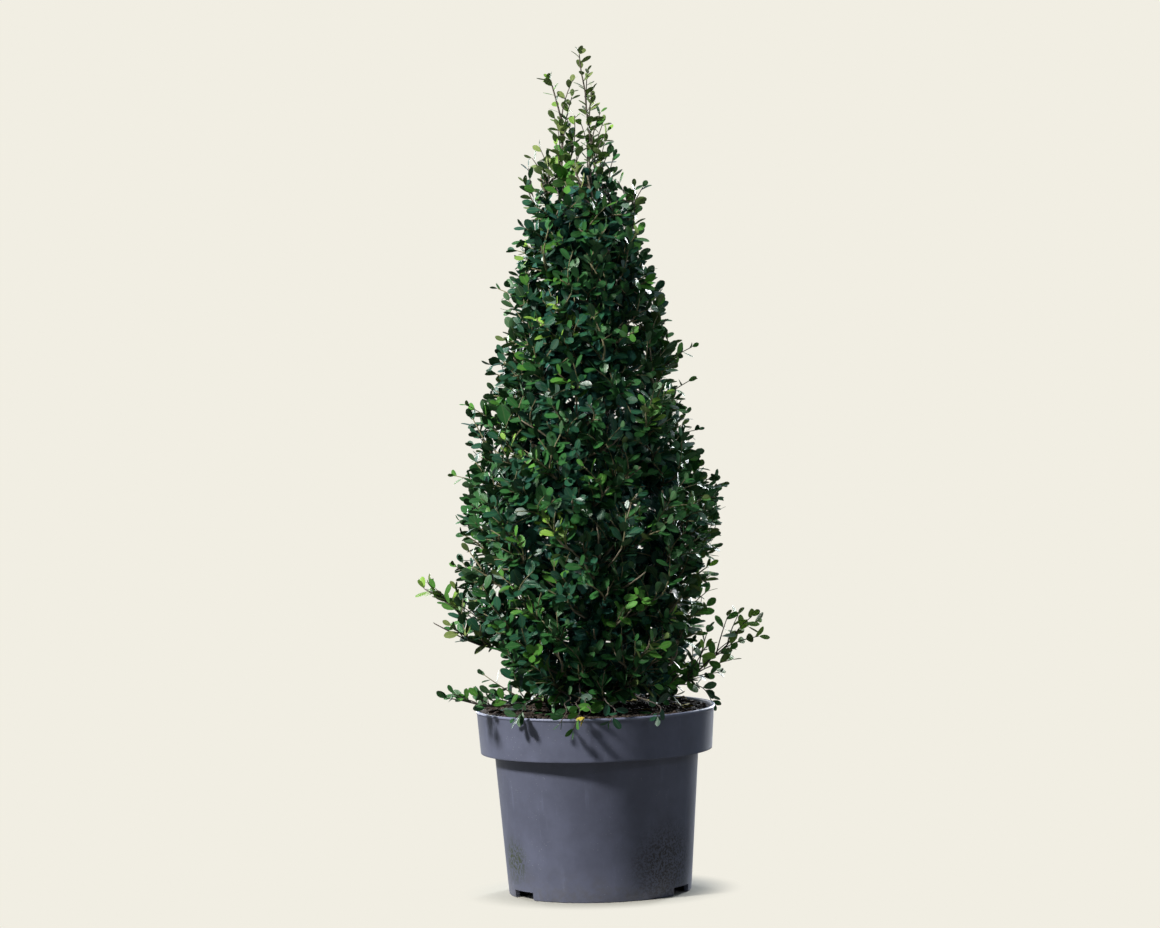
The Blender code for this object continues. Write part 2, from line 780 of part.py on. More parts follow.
def make_mass(mass, space, routes, sections, cutters, holder, pieces, seed):
    """One mass of foliage as one solid: stem, twigs, leaves and core joined."""
    rng = random.Random(seed)
    if not mass.clipped:
        set_out_loose_twigs(mass, space, rng)
    stem = space.stems[mass.name]
    carrier = routes[mass.bough if mass.bough_height else mass.limb][0]
    # The stem sets out in line with the limb's end, so that their flat ends face each other.
    lead = (carrier[-1] - carrier[-2]).normalized()
    route = [stem[0] + lead * GAP, stem[0] + lead * (GAP + MASS_STEM_LEAD), *stem[1:]]
    radii = tapered(*MASS_STEM_RADII, len(route))
    body = tube(mass.name, route, radii, sections["twig"], holder)
    for target in mass.targets:
        grow_twig(mass, space, target, sections, pieces, rng)
    if mass.clipped:
        make_core(mass, space, cutters, pieces)
    # Dozens of closed pieces, which the manifold solver joins in a moment.
    solid = boolean(body, "UNION", pieces, mass.name, holder, solver="MANIFOLD")
    for obj in list(pieces.objects):
        bpy.data.objects.remove(obj)
    keep_largest_shell(solid.data)
    return solid


# ---- The whole plant ----


def main():
    for obj in list(bpy.data.objects):
        bpy.data.objects.remove(obj)
    plant = collection("potted_holly_cone")
    pot_cutters = collection("pot_cutters")
    limb_cutters = collection("limb_cutters")
    guides = collection("guides")
    pieces = collection("pieces")
    sections = {
        "stem": section("stem_section", 8, guides),
        "bough": section("bough_section", 5, guides),
        "twig": section("twig_section", 3, guides),
    }
    grey_plastic = material("pot_plastic", (0.145, 0.150, 0.190), 0.45)
    dark_soil = material("potting_soil", (0.030, 0.019, 0.013), 0.95)
    bark = material("bark", (0.160, 0.115, 0.075), 0.85)
    green_leaf = material("foliage", (0.022, 0.065, 0.018), 0.40)

    dress(make_pot(plant, pot_cutters), grey_plastic)
    dress(make_soil(plant), dark_soil)
    masses = masses_of_the_plant()
    limbs, routes, cutter_of = make_limbs(masses, sections, plant, limb_cutters)
    for limb in limbs:
        dress(limb, bark)
    space = Space(masses, routes)
    share_out_clipped_twigs(masses, space)
    for number, mass in enumerate(masses):
        solid = make_mass(mass, space, routes, sections, limb_cutters, plant, pieces, seed=100 + number)
        if mass.starts_inside_limb:
            solid = cut_clear(solid, cutter_of[mass.limb], plant)
        dress(solid, green_leaf)


main()
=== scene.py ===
"""Potted Japanese holly cone: bark, twigs, leaves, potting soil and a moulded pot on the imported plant.

Metres, +Z up, front towards -Y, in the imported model's own frame.
Twigs and leaves grow on from the limbs by the part's own rule, carried on to finer shoots.
"""

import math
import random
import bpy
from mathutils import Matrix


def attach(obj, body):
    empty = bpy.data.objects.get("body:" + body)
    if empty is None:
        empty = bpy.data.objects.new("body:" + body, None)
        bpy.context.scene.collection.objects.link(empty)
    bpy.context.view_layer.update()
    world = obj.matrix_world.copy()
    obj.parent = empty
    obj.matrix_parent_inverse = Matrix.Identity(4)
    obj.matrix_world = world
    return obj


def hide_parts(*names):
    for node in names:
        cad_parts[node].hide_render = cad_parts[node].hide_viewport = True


bl_info = {
    "name": "Potted Holly Cone",
    "version": (1, 0, 0),
    "blender": (4, 5, 0),
    "location": "View3D > Sidebar > Holly",
    "description": "Dresses a potted holly cone with its bark, shoots, leaves, soil and pot",
    "category": "Object",
}

from contextlib import contextmanager
from dataclasses import dataclass, field

import bpy
import numpy as np
from bpy.props import FloatProperty, FloatVectorProperty, IntProperty, PointerProperty
from mathutils import Matrix, Vector, noise
from mathutils.kdtree import KDTree

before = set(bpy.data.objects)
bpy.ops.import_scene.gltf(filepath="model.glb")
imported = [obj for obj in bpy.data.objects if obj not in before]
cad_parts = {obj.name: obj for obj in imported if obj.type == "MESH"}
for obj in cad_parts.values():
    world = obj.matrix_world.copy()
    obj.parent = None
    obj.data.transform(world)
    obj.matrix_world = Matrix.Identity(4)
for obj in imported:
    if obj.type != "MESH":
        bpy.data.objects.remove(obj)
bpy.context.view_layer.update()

UP = Vector((0.0, 0.0, 1.0))
GOLDEN_ANGLE = math.pi * (3.0 - math.sqrt(5.0))
TENTHS = 10000.0


def metres(*rows, per=1000.0):
    """The rows of a table that is written in millimetres, or in tenths of one."""
    return tuple(tuple(value / per for value in row) for row in rows)


# ---- The finishes' places ----

# In a leaf piece, and the underside that goes with each.
# The inner leaves' finish is painted shade: a blue-green that stands in for the dim cool light deep in the
# cone.
DEEP, GREEN, FRESH, LIME, YELLOW, UNDERSIDE, YOUNG_UNDERSIDE, INNER_PAINTED_SHADE, OLIVE = range(9)
UNDER_OF = (UNDERSIDE, UNDERSIDE, YOUNG_UNDERSIDE, YOUNG_UNDERSIDE, YELLOW, UNDERSIDE)
UNDER_OF += (YOUNG_UNDERSIDE, INNER_PAINTED_SHADE, YOUNG_UNDERSIDE)
# In a twig piece.
TWIG_BARK, SHOOT_BARK, LEADER_BARK = range(3)

# ---- The part's own growth values ----

# The clipped cone's radius at a height.
CROWN_OUTLINE = metres(
    (222, 108), (260, 122), (310, 145), (370, 153), (470, 151), (550, 133), (650, 108), (740, 87),
    (800, 73), (840, 52), (870, 34),
)
# A height, and how far the clipped cone reaches there to its left and to its right.
SIDE_REACH = metres(
    (222, 88, 92), (262, 94, 110), (292, 108, 121), (318, 138, 129), (350, 152, 138), (375, 153, 141),
    (405, 147, 147), (435, 155, 150), (465, 143, 157), (500, 142, 136), (530, 135, 122),
    (565, 137, 119), (600, 113, 103), (630, 115, 117), (660, 107, 91), (690, 93, 88), (715, 94, 88),
    (742, 76, 82), (770, 85, 85), (800, 73, 74), (825, 64, 50), (850, 48, 34), (870, 30, 26),
)

STEM_ROUTE = metres(
    (0, 0, 215), (6, 2, 285), (16, 4, 360), (28, -3, 440), (22, 3, 530), (16, 0, 600),
)
RIGHT_LEADER_ROUTE = metres((30, 1, 660), (35, 0, 740), (34, 0, 805))
LEFT_LEADER_ROUTE = metres((-4, 1, 660), (-14, 0, 740), (-18, 0, 800))
STEM_BASE_RADIUS = 0.0085
STEM_FORK_RADIUS = 0.0042
STEM_FLARE = 1.65
FLARE_HEIGHT = 0.018
LEADER_RADII = (0.0037, 0.0023)
BOUGH_RADII = (0.0036, 0.0024)
BOUGH_SAG = 0.10
BOUGH_STEP = 0.0105
TIER_STAGGER = 0.030
MASS_STEM_RADII = (0.0024, 0.0011)
TWIG_SAG = 0.10
TWIG_RISE = 0.45
SOIL_TOP = 0.2105

# ---- Finer growth, for the leaves at their own size ----

CLIPPED_TWIGS = 230
TWIG_RADII = (0.0017, 0.0008)
SHOOT_RADII = (0.00095, 0.00050)
STOUT_SHOOT_RADII = (0.00140, 0.00065)
LOOSE_STEM_RADII = (0.0018, 0.0007)
HANGING_RADII = (0.00085, 0.00045)
STEM_STEP = 0.012
TWIG_KINKS = 0.0022
# Layers of shoots: the share of the crown's radius that they end at, how many, and their least leaves.
SHOOT_LAYERS = ((1.00, 860, 9), (0.89, 350, 8), (0.74, 360, 8), (0.55, 280, 7), (0.34, 150, 7))
# The first of these layers have leaves of the full form, and the rest a plainer one.
OUTER_LAYERS = 2
# Loose stems that wander off the straight way from their foot to their tip.
LOOSE_ROUTES = {
    "spray_right": metres(
        (618, 43, 2400), (860, 60, 2370), (1092, 80, 2430), (1320, 90, 2635), (1523, 90, 2794),
        (1704, 90, 2988),
        per=TENTHS,
    ),
    "spray_left_high": metres(
        (-600, 20, 2620), (-820, 35, 2820), (-1034, 50, 2962), (-1226, 60, 3083), (-1490, 60, 3216),
        (-1594, 60, 3327), (-1803, 60, 3493), (-1950, 60, 3580),
        per=TENTHS,
    ),
    "spray_left_low": metres(
        (-558, -160, 2380), (-700, -180, 2610), (-862, -200, 2746), (-1014, -240, 2836),
        (-1154, -280, 2897), (-1364, -340, 2962), (-1590, -400, 3080), (-1833, -460, 3220),
        per=TENTHS,
    ),
    "spray_left_rim": metres(
        (-580, -390, 2285), (-860, -520, 2262), (-1159, -660, 2262), (-1322, -780, 2293),
        (-1494, -880, 2352), (-1683, -980, 2400),
        per=TENTHS,
    ),
    "tip_main": metres(
        (340, 0, 8050), (250, 10, 8230), (178, 0, 8400), (138, -20, 8620), (118, -10, 8880),
        (88, 10, 9120), (80, 10, 9340), (40, 0, 9560), (24, 0, 9760),
        per=TENTHS,
    ),
    "tip_left": metres(
        (-180, 0, 8000), (-207, 10, 8260), (-222, 0, 8480), (-192, -20, 8840), (-210, -20, 9030),
        (-262, -30, 9250), (-306, -30, 9420), (-336, -30, 9470),
        per=TENTHS,
    ),
}


@dataclass(frozen=True)
class Dress:
    """How a loose stem is dressed with leaves of its own and with leafy twigs."""

    tints: tuple  # Dealt out twig by twig.
    leaf: float = 1.0  # Against a full grown leaf.
    own_leaves: int = 9
    twigs: int = 11
    until: float = 0.92  # The share of the stem that the last twig ends at.
    runs_on: float = 0.006  # How far the stem runs on past its mass's own.
    closing: float = 0.70  # How much narrower the twigs spread at the tip.
    below: float = -0.4  # What becomes of the fall of a twig that would hang.
    twig_leaves: tuple = (4, 8)


LOOSE_DRESS = {
    "tip_main": Dress((OLIVE, LIME, FRESH, OLIVE), leaf=0.74, own_leaves=24, twigs=0, runs_on=0.001),
    "tip_left": Dress((LIME, OLIVE, LIME), leaf=0.70, own_leaves=22, twigs=0, runs_on=0.001),
    "spray_left_high": Dress(
        (LIME, OLIVE, FRESH, LIME, FRESH), own_leaves=5, twigs=13, until=0.88, runs_on=0.002
    ),
    "spray_left_low": Dress(
        (FRESH, GREEN, FRESH, OLIVE), own_leaves=0, twigs=12, until=0.84, runs_on=0.002
    ),
    "spray_left_rim": Dress(
        (GREEN, FRESH, OLIVE), leaf=0.98, own_leaves=3, twigs=10, until=0.84, runs_on=0.002
    ),
    # The right spray's light tints are painted light, for light that shines through its leaves in the cone's
    # shadow.
    "spray_right": Dress(
        (LIME, OLIVE, FRESH, LIME, FRESH), leaf=0.98, own_leaves=3, twigs=16, until=0.97,
        runs_on=0.004, closing=0.30, below=0.5, twig_leaves=(3, 6),
    ),
    "spray_back_left": Dress((GREEN, FRESH, FRESH, LIME), closing=0.60, below=0.3),
    "spray_back_right": Dress((GREEN, FRESH, GREEN, OLIVE), closing=0.60, below=0.3),
}
# Where the leaves of the loose low sprays turn their faces.
SPRAY_LIGHT = Vector((-0.20, -0.85, 0.50))
# How deep the dark gaps between the tufts go, as a share of the crown's radius, and the tufts' fineness.
GAP_DEPTH = 0.34
TUFT_FINENESS = 17.0
# A leaf's half width at shares of its length, for its full form and for the plainer one.
LEAF_STATIONS = ((0.07, 0.024), (0.24, 0.158), (0.50, 0.255), (0.76, 0.240), (0.94, 0.120))
INNER_LEAF_STATIONS = ((0.30, 0.205), (0.78, 0.250))
LEAF_THICKNESS = 0.022
# The degrees that a shoot's first leaves stand out from it, and their sizes against a full grown leaf.
FIRST_RISES = (14.0, 30.0, 42.0)
FIRST_SIZES = (0.62, 0.78, 0.92)
# The space between two leaves on a shoot, as a share of their length.
SHOOT_SPACING, SHOULDER_SPACING, ESCAPED_SPACING, LOOSE_TWIG_SPACING = 0.31, 0.43, 0.44, 0.46
ESCAPED_LEAF, ESCAPED_LEAVES = 0.0150, 11
HANGING_LEAF, HANGING_SPACING = 0.0180, 0.0062

# Single shoots that stand out past the clipped cone: azimuth in degrees, height and reach.
ESCAPED_SHOOTS = (
    (180, 0.707, 0.106), (178, 0.49, 0.163), (186, 0.438, 0.158), (176, 0.572, 0.146),
    (-2, 0.633, 0.13), (-5, 0.595, 0.128), (3, 0.536, 0.134), (-3, 0.473, 0.162), (0, 0.252, 0.152),
    (-155, 0.263, 0.148), (183, 0.386, 0.165), (-62, 0.655, 0.126), (-118, 0.52, 0.16),
    (70, 0.45, 0.172), (118, 0.6, 0.138), (92, 0.7, 0.112), (140, 0.365, 0.17), (40, 0.545, 0.15),
    (-40, 0.4, 0.166),
)
# Upright shoots on the cone's shoulders and up its two tips, in tenths of a millimetre: where they end
# and the length of a leaf, then how many leaves.
SHOULDER_SHOOTS = (
    (-62, -40, 9460, 137, 6), (112, 40, 9560, 137, 6), (165, -40, 9360, 149, 6),
    (-75, 60, 9270, 156, 7), (148, 80, 9210, 163, 6), (250, -60, 9080, 163, 7),
    (-50, -100, 9050, 156, 6), (277, 60, 8960, 175, 7), (20, 140, 8970, 156, 6),
    (320, -80, 8860, 182, 8), (290, 120, 8730, 189, 8), (385, -40, 8550, 195, 9),
    (335, 80, 8620, 195, 8), (10, -120, 8690, 195, 8), (-275, -40, 8745, 195, 10),
    (-80, 40, 8770, 189, 9), (-170, -100, 8870, 189, 9), (-380, 40, 8570, 195, 9),
    (-290, 80, 9050, 163, 7), (-140, -20, 9030, 169, 7), (-250, 0, 8930, 175, 7),
    (-460, -40, 8680, 175, 9), (-556, 40, 8570, 169, 8), (-600, -60, 8460, 189, 9),
    (-650, 20, 8290, 177, 9), (430, -100, 8280, 188, 10), (520, 60, 8120, 194, 10),
    (620, -40, 8200, 188, 9), (720, 20, 8200, 182, 9), (-200, -200, 8560, 208, 10),
    (-60, -300, 8420, 188, 10), (120, -260, 8380, 188, 10), (-330, -180, 8380, 188, 10),
    (0, 220, 8620, 208, 10), (180, 300, 8460, 208, 10), (-160, 340, 8400, 182, 10),
    (120, 120, 8820, 189, 8), (100, -160, 8560, 208, 8), (280, -240, 8260, 188, 10),
    (-100, 160, 8720, 195, 8), (-330, 220, 8480, 195, 9), (380, 240, 8360, 182, 9),
)
# Hollows in the clipped face: azimuth in degrees, height and size.
HOLLOWS = (
    (-53, 0.681, 0.03), (-52, 0.517, 0.034), (-77, 0.512, 0.036), (-104, 0.421, 0.027),
    (-76, 0.401, 0.042), (-44, 0.353, 0.036), (-76, 0.25, 0.034), (-128, 0.56, 0.024),
    (75, 0.58, 0.036), (128, 0.42, 0.034), (24, 0.36, 0.034), (165, 0.67, 0.028), (100, 0.3, 0.03),
)
HOLLOW_DEPTH = 0.30
FULL_SHOOTS_BELOW, NO_SHOOTS_FROM = 0.790, 0.840
# Where no leaf may be: in the soil and through the lip, as heights and radii, or far down the pot.
SOIL_CLEAR = (0.2140, 0.1440)
LIP_CLEAR = (0.2185, 0.1320, 0.1430)
LOWEST_LEAF = 0.150
# The least height of a loose twig's tip, over the rim.
RIM_CLEAR = 0.2215
# Shoots that hang over the pot's rim: azimuth in degrees, reach, the height they end at, leaves and tint.
HANGING_SHOOTS = (
    (-128, 0.15, 0.2165, 7, GREEN), (-106, 0.15, 0.212, 7, GREEN), (-100, 0.151, 0.205, 8, FRESH),
    (-95, 0.149, 0.219, 2, YELLOW), (-84, 0.15, 0.2125, 7, DEEP), (-62, 0.15, 0.216, 6, DEEP),
    (24, 0.151, 0.211, 8, GREEN), (61, 0.15, 0.2155, 7, FRESH), (104, 0.151, 0.208, 8, GREEN),
    (147, 0.15, 0.214, 7, DEEP),
)


@dataclass
class Mass:
    """A mass of foliage: its stem's route, and the way that it grows."""

    name: str
    limb: str
    start: Vector
    tip: Vector
    bow: float
    bough_height: float = 0.0
    clipped: bool = True
    spread: float = 0.0
    stem: list = field(default_factory=list)

    @property
    def bough(self):
        return "bough_" + self.name.split("_", 1)[1]

    @property
    def storey(self):
        """The part of the crown whose leaves this mass's leaves are joined with."""
        kind, place = self.name.split("_")[:2]
        if kind == "spray" or place == "skirt":
            return "low"
        return "top" if kind == "tip" or place == "top" else place


def polar(azimuth, radius, height):
    angle = math.radians(azimuth)
    return Vector((radius * math.cos(angle), radius * math.sin(angle), height))


def level(point):
    """The level direction from the plant's middle out to a point."""
    return Vector((point.x, point.y, 0.0)).normalized()


def tier(name, azimuths, bough_height, inner, outer, bow):
    """Clipped masses round the crown, each rising from its inner (radius, height) to its outer one."""
    made = []
    for index, azimuth in enumerate(azimuths):
        stagger = UP * (TIER_STAGGER * (index % 2))
        start, tip = polar(azimuth, *inner) + stagger, polar(azimuth, *outer) + stagger
        height = bough_height + BOUGH_STEP * index
        made.append(Mass(f"foliage_{name}_{index + 1}", "main_stem", start, tip, bow, height))
    return made


def skirt(azimuths):
    """Small clipped masses low over the pot, below the first tier."""
    made = []
    for index, azimuth in enumerate(azimuths):
        start, tip = polar(azimuth, 0.048, 0.238), polar(azimuth, 0.092, 0.262)
        height = 0.2230 + 0.004 * (index % 2)
        made.append(Mass(f"foliage_skirt_{index + 1}", "main_stem", start, tip, 0.004, height))
    return made


def top_mass(name, limb, height, tip):
    start = at_height(limb_routes()[limb][0], height)
    return Mass(f"foliage_top_{name}", limb, start, Vector(tip), -0.006)


def spray(name, azimuth, inner, outer, bough_height, spread):
    """A loose low branch that reaches out past the clipped cone."""
    start, tip = polar(azimuth, *inner), polar(azimuth, *outer)
    return Mass(f"spray_{name}", "main_stem", start, tip, 0.006, bough_height, False, spread)


def loose_tip(name, limb, tip, spread):
    """A loose tip that carries one of the two leaders on above the clipped cone."""
    start = limb_routes()[limb][0][-1]
    return Mass(f"tip_{name}", limb, start, Vector(tip), 0.002, 0.0, False, spread)


def masses_of_the_plant():
    masses = [
        spray("left_high", 178.0, (0.060, 0.262), (0.180, 0.350), 0.2370, 0.036),
        spray("left_low", 196.0, (0.058, 0.238), (0.166, 0.300), 0.2270, 0.028),
        spray("left_rim", 214.0, (0.070, 0.2285), (0.178, 0.2380), 0.2175, 0.020),
        spray("right", 4.0, (0.062, 0.240), (0.172, 0.305), 0.2280, 0.038),
        spray("back_right", 56.0, (0.060, 0.240), (0.158, 0.290), 0.2230, 0.034),
        spray("back_left", 132.0, (0.060, 0.236), (0.160, 0.284), 0.2220, 0.034),
        *skirt((-112.0, -62.0, -20.0, 94.0)),
        *tier("lower", (-84, -12, 60, 132, 204), 0.244, (0.048, 0.288), (0.098, 0.395), 0.010),
        *tier("middle", (-100, -10, 80, 170), 0.385, (0.052, 0.430), (0.082, 0.555), 0.006),
        *tier("upper", (-70, 50, 170), 0.530, (0.042, 0.582), (0.054, 0.690), 0.004),
        top_mass("left", "leader_left", 0.705, (-0.046, 0.000, 0.835)),
        top_mass("right", "leader_right", 0.710, (0.062, 0.002, 0.812)),
        top_mass("front", "leader_right", 0.725, (0.008, -0.038, 0.835)),
        top_mass("back", "leader_left", 0.720, (0.008, 0.040, 0.830)),
        loose_tip("main", "leader_right", (0.0035, 0.0, 0.974), 0.030),
        loose_tip("left", "leader_left", (-0.035, -0.003, 0.936), 0.026),
    ]
    for mass in masses:
        if mass.name in LOOSE_ROUTES:
            mass.stem = smooth_route(LOOSE_ROUTES[mass.name], 2)
        else:
            mass.stem = bowed_route(mass.start, mass.tip, mass.bow, 3)
    return masses


# ---- Curves and distances ----


def smooth_route(points, steps):
    """A smooth curve through the points, with this many steps between each two."""
    points = [Vector(p) for p in points]
    padded = [points[0], *points, points[-1]]
    route = []
    for before, here, after, beyond in zip(padded, padded[1:], padded[2:], padded[3:]):
        for step in range(steps):
            t = step / steps
            square = 2 * before - 5 * here + 4 * after - beyond
            cube = 3 * here - 3 * after + beyond - before
            route.append(0.5 * (2 * here + (after - before) * t + square * t**2 + cube * t**3))
    return [*route, points[-1]]


def bowed_route(start, end, bow, steps):
    """A limb's route from start to end, whose middle lies bow above the straight line."""
    shares = [step / steps for step in range(steps + 1)]
    return [start.lerp(end, t) + UP * (bow * 4.0 * t * (1.0 - t)) for t in shares]


def along(route, share):
    """The point at this share of the route's steps."""
    place = min(max(share, 0.0), 1.0) * (len(route) - 1)
    index = min(int(place), len(route) - 2)
    return route[index].lerp(route[index + 1], place - index)


def heading(route, share):
    """The direction of the route at this share of its steps."""
    index = min(int(min(max(share, 0.0), 1.0) * (len(route) - 1)), len(route) - 2)
    return (route[index + 1] - route[index]).normalized()


def at_height(route, height):
    """The point where a rising route passes this height."""
    for low, high in zip(route, route[1:]):
        if low.z <= height <= high.z:
            return low.lerp(high, (height - low.z) / (high.z - low.z))
    return route[-1].copy()


def route_length(route):
    return sum((b - a).length for a, b in zip(route, route[1:]))


def resampled(route, step):
    """The same route with points about a step apart."""
    count = max(2, round(route_length(route) / step))
    fine = smooth_route(route, 8)
    return [along(fine, index / count) for index in range(count + 1)]


def distances_to(route, points):
    """The distance from each of the points, an array, to the route."""
    nodes = np.array(route)
    starts, spans = nodes[:-1], nodes[1:] - nodes[:-1]
    offsets = points[:, None, :] - starts[None]
    shares = (offsets * spans).sum(2) / (spans * spans).sum(1)
    feet = np.clip(shares, 0.0, 1.0)[..., None] * spans
    return np.linalg.norm(offsets - feet, axis=2).min(axis=1)


def between(rows, value, column):
    """The column's value at this height, between the rows of a table that starts with heights."""
    value = min(max(value, rows[0][0]), rows[-1][0])
    for low, high in zip(rows, rows[1:]):
        if low[0] <= value <= high[0]:
            share = (value - low[0]) / (high[0] - low[0])
            return low[column] + (high[column] - low[column]) * share
    return rows[-1][column]


def crown_radius(point):
    """The clipped cone's radius at a point's height and azimuth."""
    azimuth = math.atan2(point.y, point.x)
    radius = between(CROWN_OUTLINE, point.z, 1)
    side = between(SIDE_REACH, point.z, 2 if math.cos(azimuth) > 0.0 else 1)
    sideways = abs(math.cos(azimuth)) ** 3
    wide_lumps = 0.030 * math.sin(3.0 * azimuth + 31.0 * point.z)
    small_lumps = 0.022 * math.sin(5.0 * azimuth - 47.0 * point.z + 1.0)
    lumpy = radius * (1.0 + wide_lumps + small_lumps)
    return lumpy + (side - lumpy) * sideways


def stem_radius(height):
    """The main stem's radius: an even taper, with a flare at the soil."""
    share = (height - SOIL_TOP) / (STEM_ROUTE[-1][2] - SOIL_TOP)
    flare = 1.0 + (STEM_FLARE - 1.0) * math.exp(-(height - SOIL_TOP) / FLARE_HEIGHT)
    return (STEM_BASE_RADIUS + (STEM_FORK_RADIUS - STEM_BASE_RADIUS) * share) * flare


def tapered(first, last, count):
    return [first + (last - first) * index / (count - 1) for index in range(count)]


def limb_routes():
    """The main stem and its two leaders, as name: (route, radii)."""
    stem = [Vector((0.0, 0.0, SOIL_TOP)), *smooth_route(STEM_ROUTE, 3)]
    right = smooth_route([STEM_ROUTE[-1], *RIGHT_LEADER_ROUTE], 3)
    left = smooth_route([STEM_ROUTE[-1], *LEFT_LEADER_ROUTE], 3)
    return {
        "main_stem": (stem, [stem_radius(point.z) for point in stem]),
        "leader_right": (right, tapered(*LEADER_RADII, len(right))),
        "leader_left": (left, tapered(*LEADER_RADII, len(left))),
    }


def bough_routes(masses):
    """Every bough, from its limb to the foot of its mass, as name: (route, radii)."""
    limbs = limb_routes()
    made = {}
    for mass in masses:
        if mass.bough_height:
            root = at_height(limbs[mass.limb][0], mass.bough_height)
            route = bowed_route(root, mass.start, -BOUGH_SAG * (mass.start - root).length, 4)
            made[mass.bough] = (route, tapered(*BOUGH_RADII, len(route)))
    return made


# ---- Growth: twigs, shoots and leaves ----


@dataclass
class Leaf:
    root: Vector
    direction: Vector
    face: Vector
    length: float
    width: float
    cup: float
    bend: float
    tint: int
    tone: float
    storey: str
    inner: bool = False


@dataclass
class Twig:
    route: list
    radii: tuple
    storey: str
    bark: int


class Growth:
    """The plant's twigs and leaves, as they grow from the stems of its masses."""

    def __init__(self, masses, leaf_length, seed):
        self.masses = masses
        self.leaf_length = leaf_length
        self.rng = random.Random(seed)
        self.twigs = []
        self.leaves = []
        self.parents = []

    def grow(self, limbs):
        self.grow_stems()
        self.grow_loose()
        self.grow_clipped_twigs()
        self.plant_tree_of_parents()
        self.grow_escaped_shoots()
        self.grow_shoulder_shoots()
        self.grow_hanging_shoots()
        self.grow_clipped_shoots()
        self.drop_leaves_that_touch(limbs)

    def scatter(self, by):
        return Vector([self.rng.uniform(-by, by) for _ in range(3)])

    def add_twig(self, route, radii, storey, bark=TWIG_BARK, carries=True):
        self.twigs.append(Twig(route, radii, storey, bark))
        if carries:
            self.parents.append((route, storey))

    def plant_tree_of_parents(self):
        """Readies the search for the carrying twig nearest to a point."""
        self.places = []
        for number, (route, _) in enumerate(self.parents):
            for share in [step / 8 for step in range(9)]:
                self.places.append((along(route, share), number, share))
        self.tree = KDTree(len(self.places))
        for index, (place, _, _) in enumerate(self.places):
            self.tree.insert(place, index)
        self.tree.balance()

    def carrier(self, wanted):
        """The place on a carrying twig nearest to a point: it, the way on there, the storey, and how far."""
        _, index, distance = self.tree.find(wanted)
        foot, number, share = self.places[index]
        route, storey = self.parents[number]
        return foot, heading(route, share), storey, distance

    def choose_tint(self, place, young=0.0):
        """The colour of a whole spray: mostly deep, but young high up, on the left and at loose ends; lighter
        at the front right as painted light.
        """
        patch = noise.noise(place * 14.0)
        left = max(0.0, -place.x) * 0.9
        high = max(0.0, place.z - 0.72) * 1.6
        low = max(0.0, 0.36 - place.z) * 0.9
        # Lighter tints at the front right are painted light, lifting the side that the key leaves in shade.
        right = max(0.0, place.x) * 1.5 if place.y < 0.04 else 0.0
        chance = self.rng.random() - 0.16 * patch
        fresh = 0.10 + left * 0.6 + right * 0.5 + high + low + young
        if chance < fresh * 0.16 + high * 0.22 + max(0.0, place.z - 0.845) * 6.0:
            return OLIVE if self.rng.random() < 0.55 and place.z > 0.80 else LIME
        if chance < fresh:
            return FRESH
        return GREEN if chance < fresh + 0.42 + right else DEEP

    def clothe(self, route, leaf, count, spacing, tint, storey, out, up=0.10, inner=False, light=None):
        """Leaves along a shoot from its tip down, small at the tip, turning round it by the golden angle."""
        rng = self.rng
        light = light or (out * 0.60 + UP * 0.55).normalized()
        length = route_length(route)
        turn = rng.uniform(0.0, math.tau)
        for index in range(count):
            back = max(0.0, index - 0.6) * spacing
            if back > length:
                break
            share = 1.0 - back / length
            root = along(route, share)
            axis = heading(route, share)
            side = Matrix.Rotation(turn + index * GOLDEN_ANGLE, 3, axis) @ axis.orthogonal().normalized()
            side = (side + out * 0.35 + UP * up).normalized()
            side = (side - axis * side.dot(axis)).normalized()
            rise = math.radians(FIRST_RISES[min(index, 2)] + rng.uniform(-6.0, 22.0))
            direction = axis * math.cos(rise) + side * math.sin(rise)
            upper = axis * math.sin(rise) - side * math.cos(rise)
            face = upper * 0.75 + light * rng.uniform(0.3, 1.1)
            face += self.scatter(0.35)
            size = FIRST_SIZES[index] if index < len(FIRST_SIZES) else rng.uniform(0.9, 1.12)
            blade, width = leaf * size * rng.uniform(0.92, 1.08), rng.uniform(0.80, 1.16)
            cup, bend = rng.uniform(-0.035, 0.080), rng.uniform(-0.02, 0.16)
            shape = (root, direction, face, blade, width, cup, bend)
            self.leaves.append(Leaf(*shape, tint, rng.random(), storey, inner))

    def shoot(
        self, foot, target, lead, leaf, count, tint, storey,
        spacing=SHOOT_SPACING, stout=False, bark=SHOOT_BARK, **leafy,
    ):
        """A leafy shoot from a point on its carrier to its target, setting out along the carrier."""
        reach = (target - foot).length
        knee = foot + (lead * 0.5 + UP * 0.25).normalized() * reach * 0.38
        route = []
        for t in [step / 5 for step in range(6)]:
            route.append(foot * (1 - t) ** 2 + knee * (2 * t * (1 - t)) + target * t * t)
        self.add_twig(route, STOUT_SHOOT_RADII if stout else SHOOT_RADII, storey, bark, carries=False)
        out = Vector((target.x, target.y, 0.0))
        out = out.normalized() if out.length > 0.004 else UP
        self.clothe(route, leaf, count, leaf * spacing, tint, storey, out, **leafy)

    def grow_stems(self):
        for mass in self.masses:
            radii, bark = (MASS_STEM_RADII, TWIG_BARK) if mass.clipped else (LOOSE_STEM_RADII, LEADER_BARK)
            self.add_twig(resampled(mass.stem, STEM_STEP), radii, mass.storey, bark)

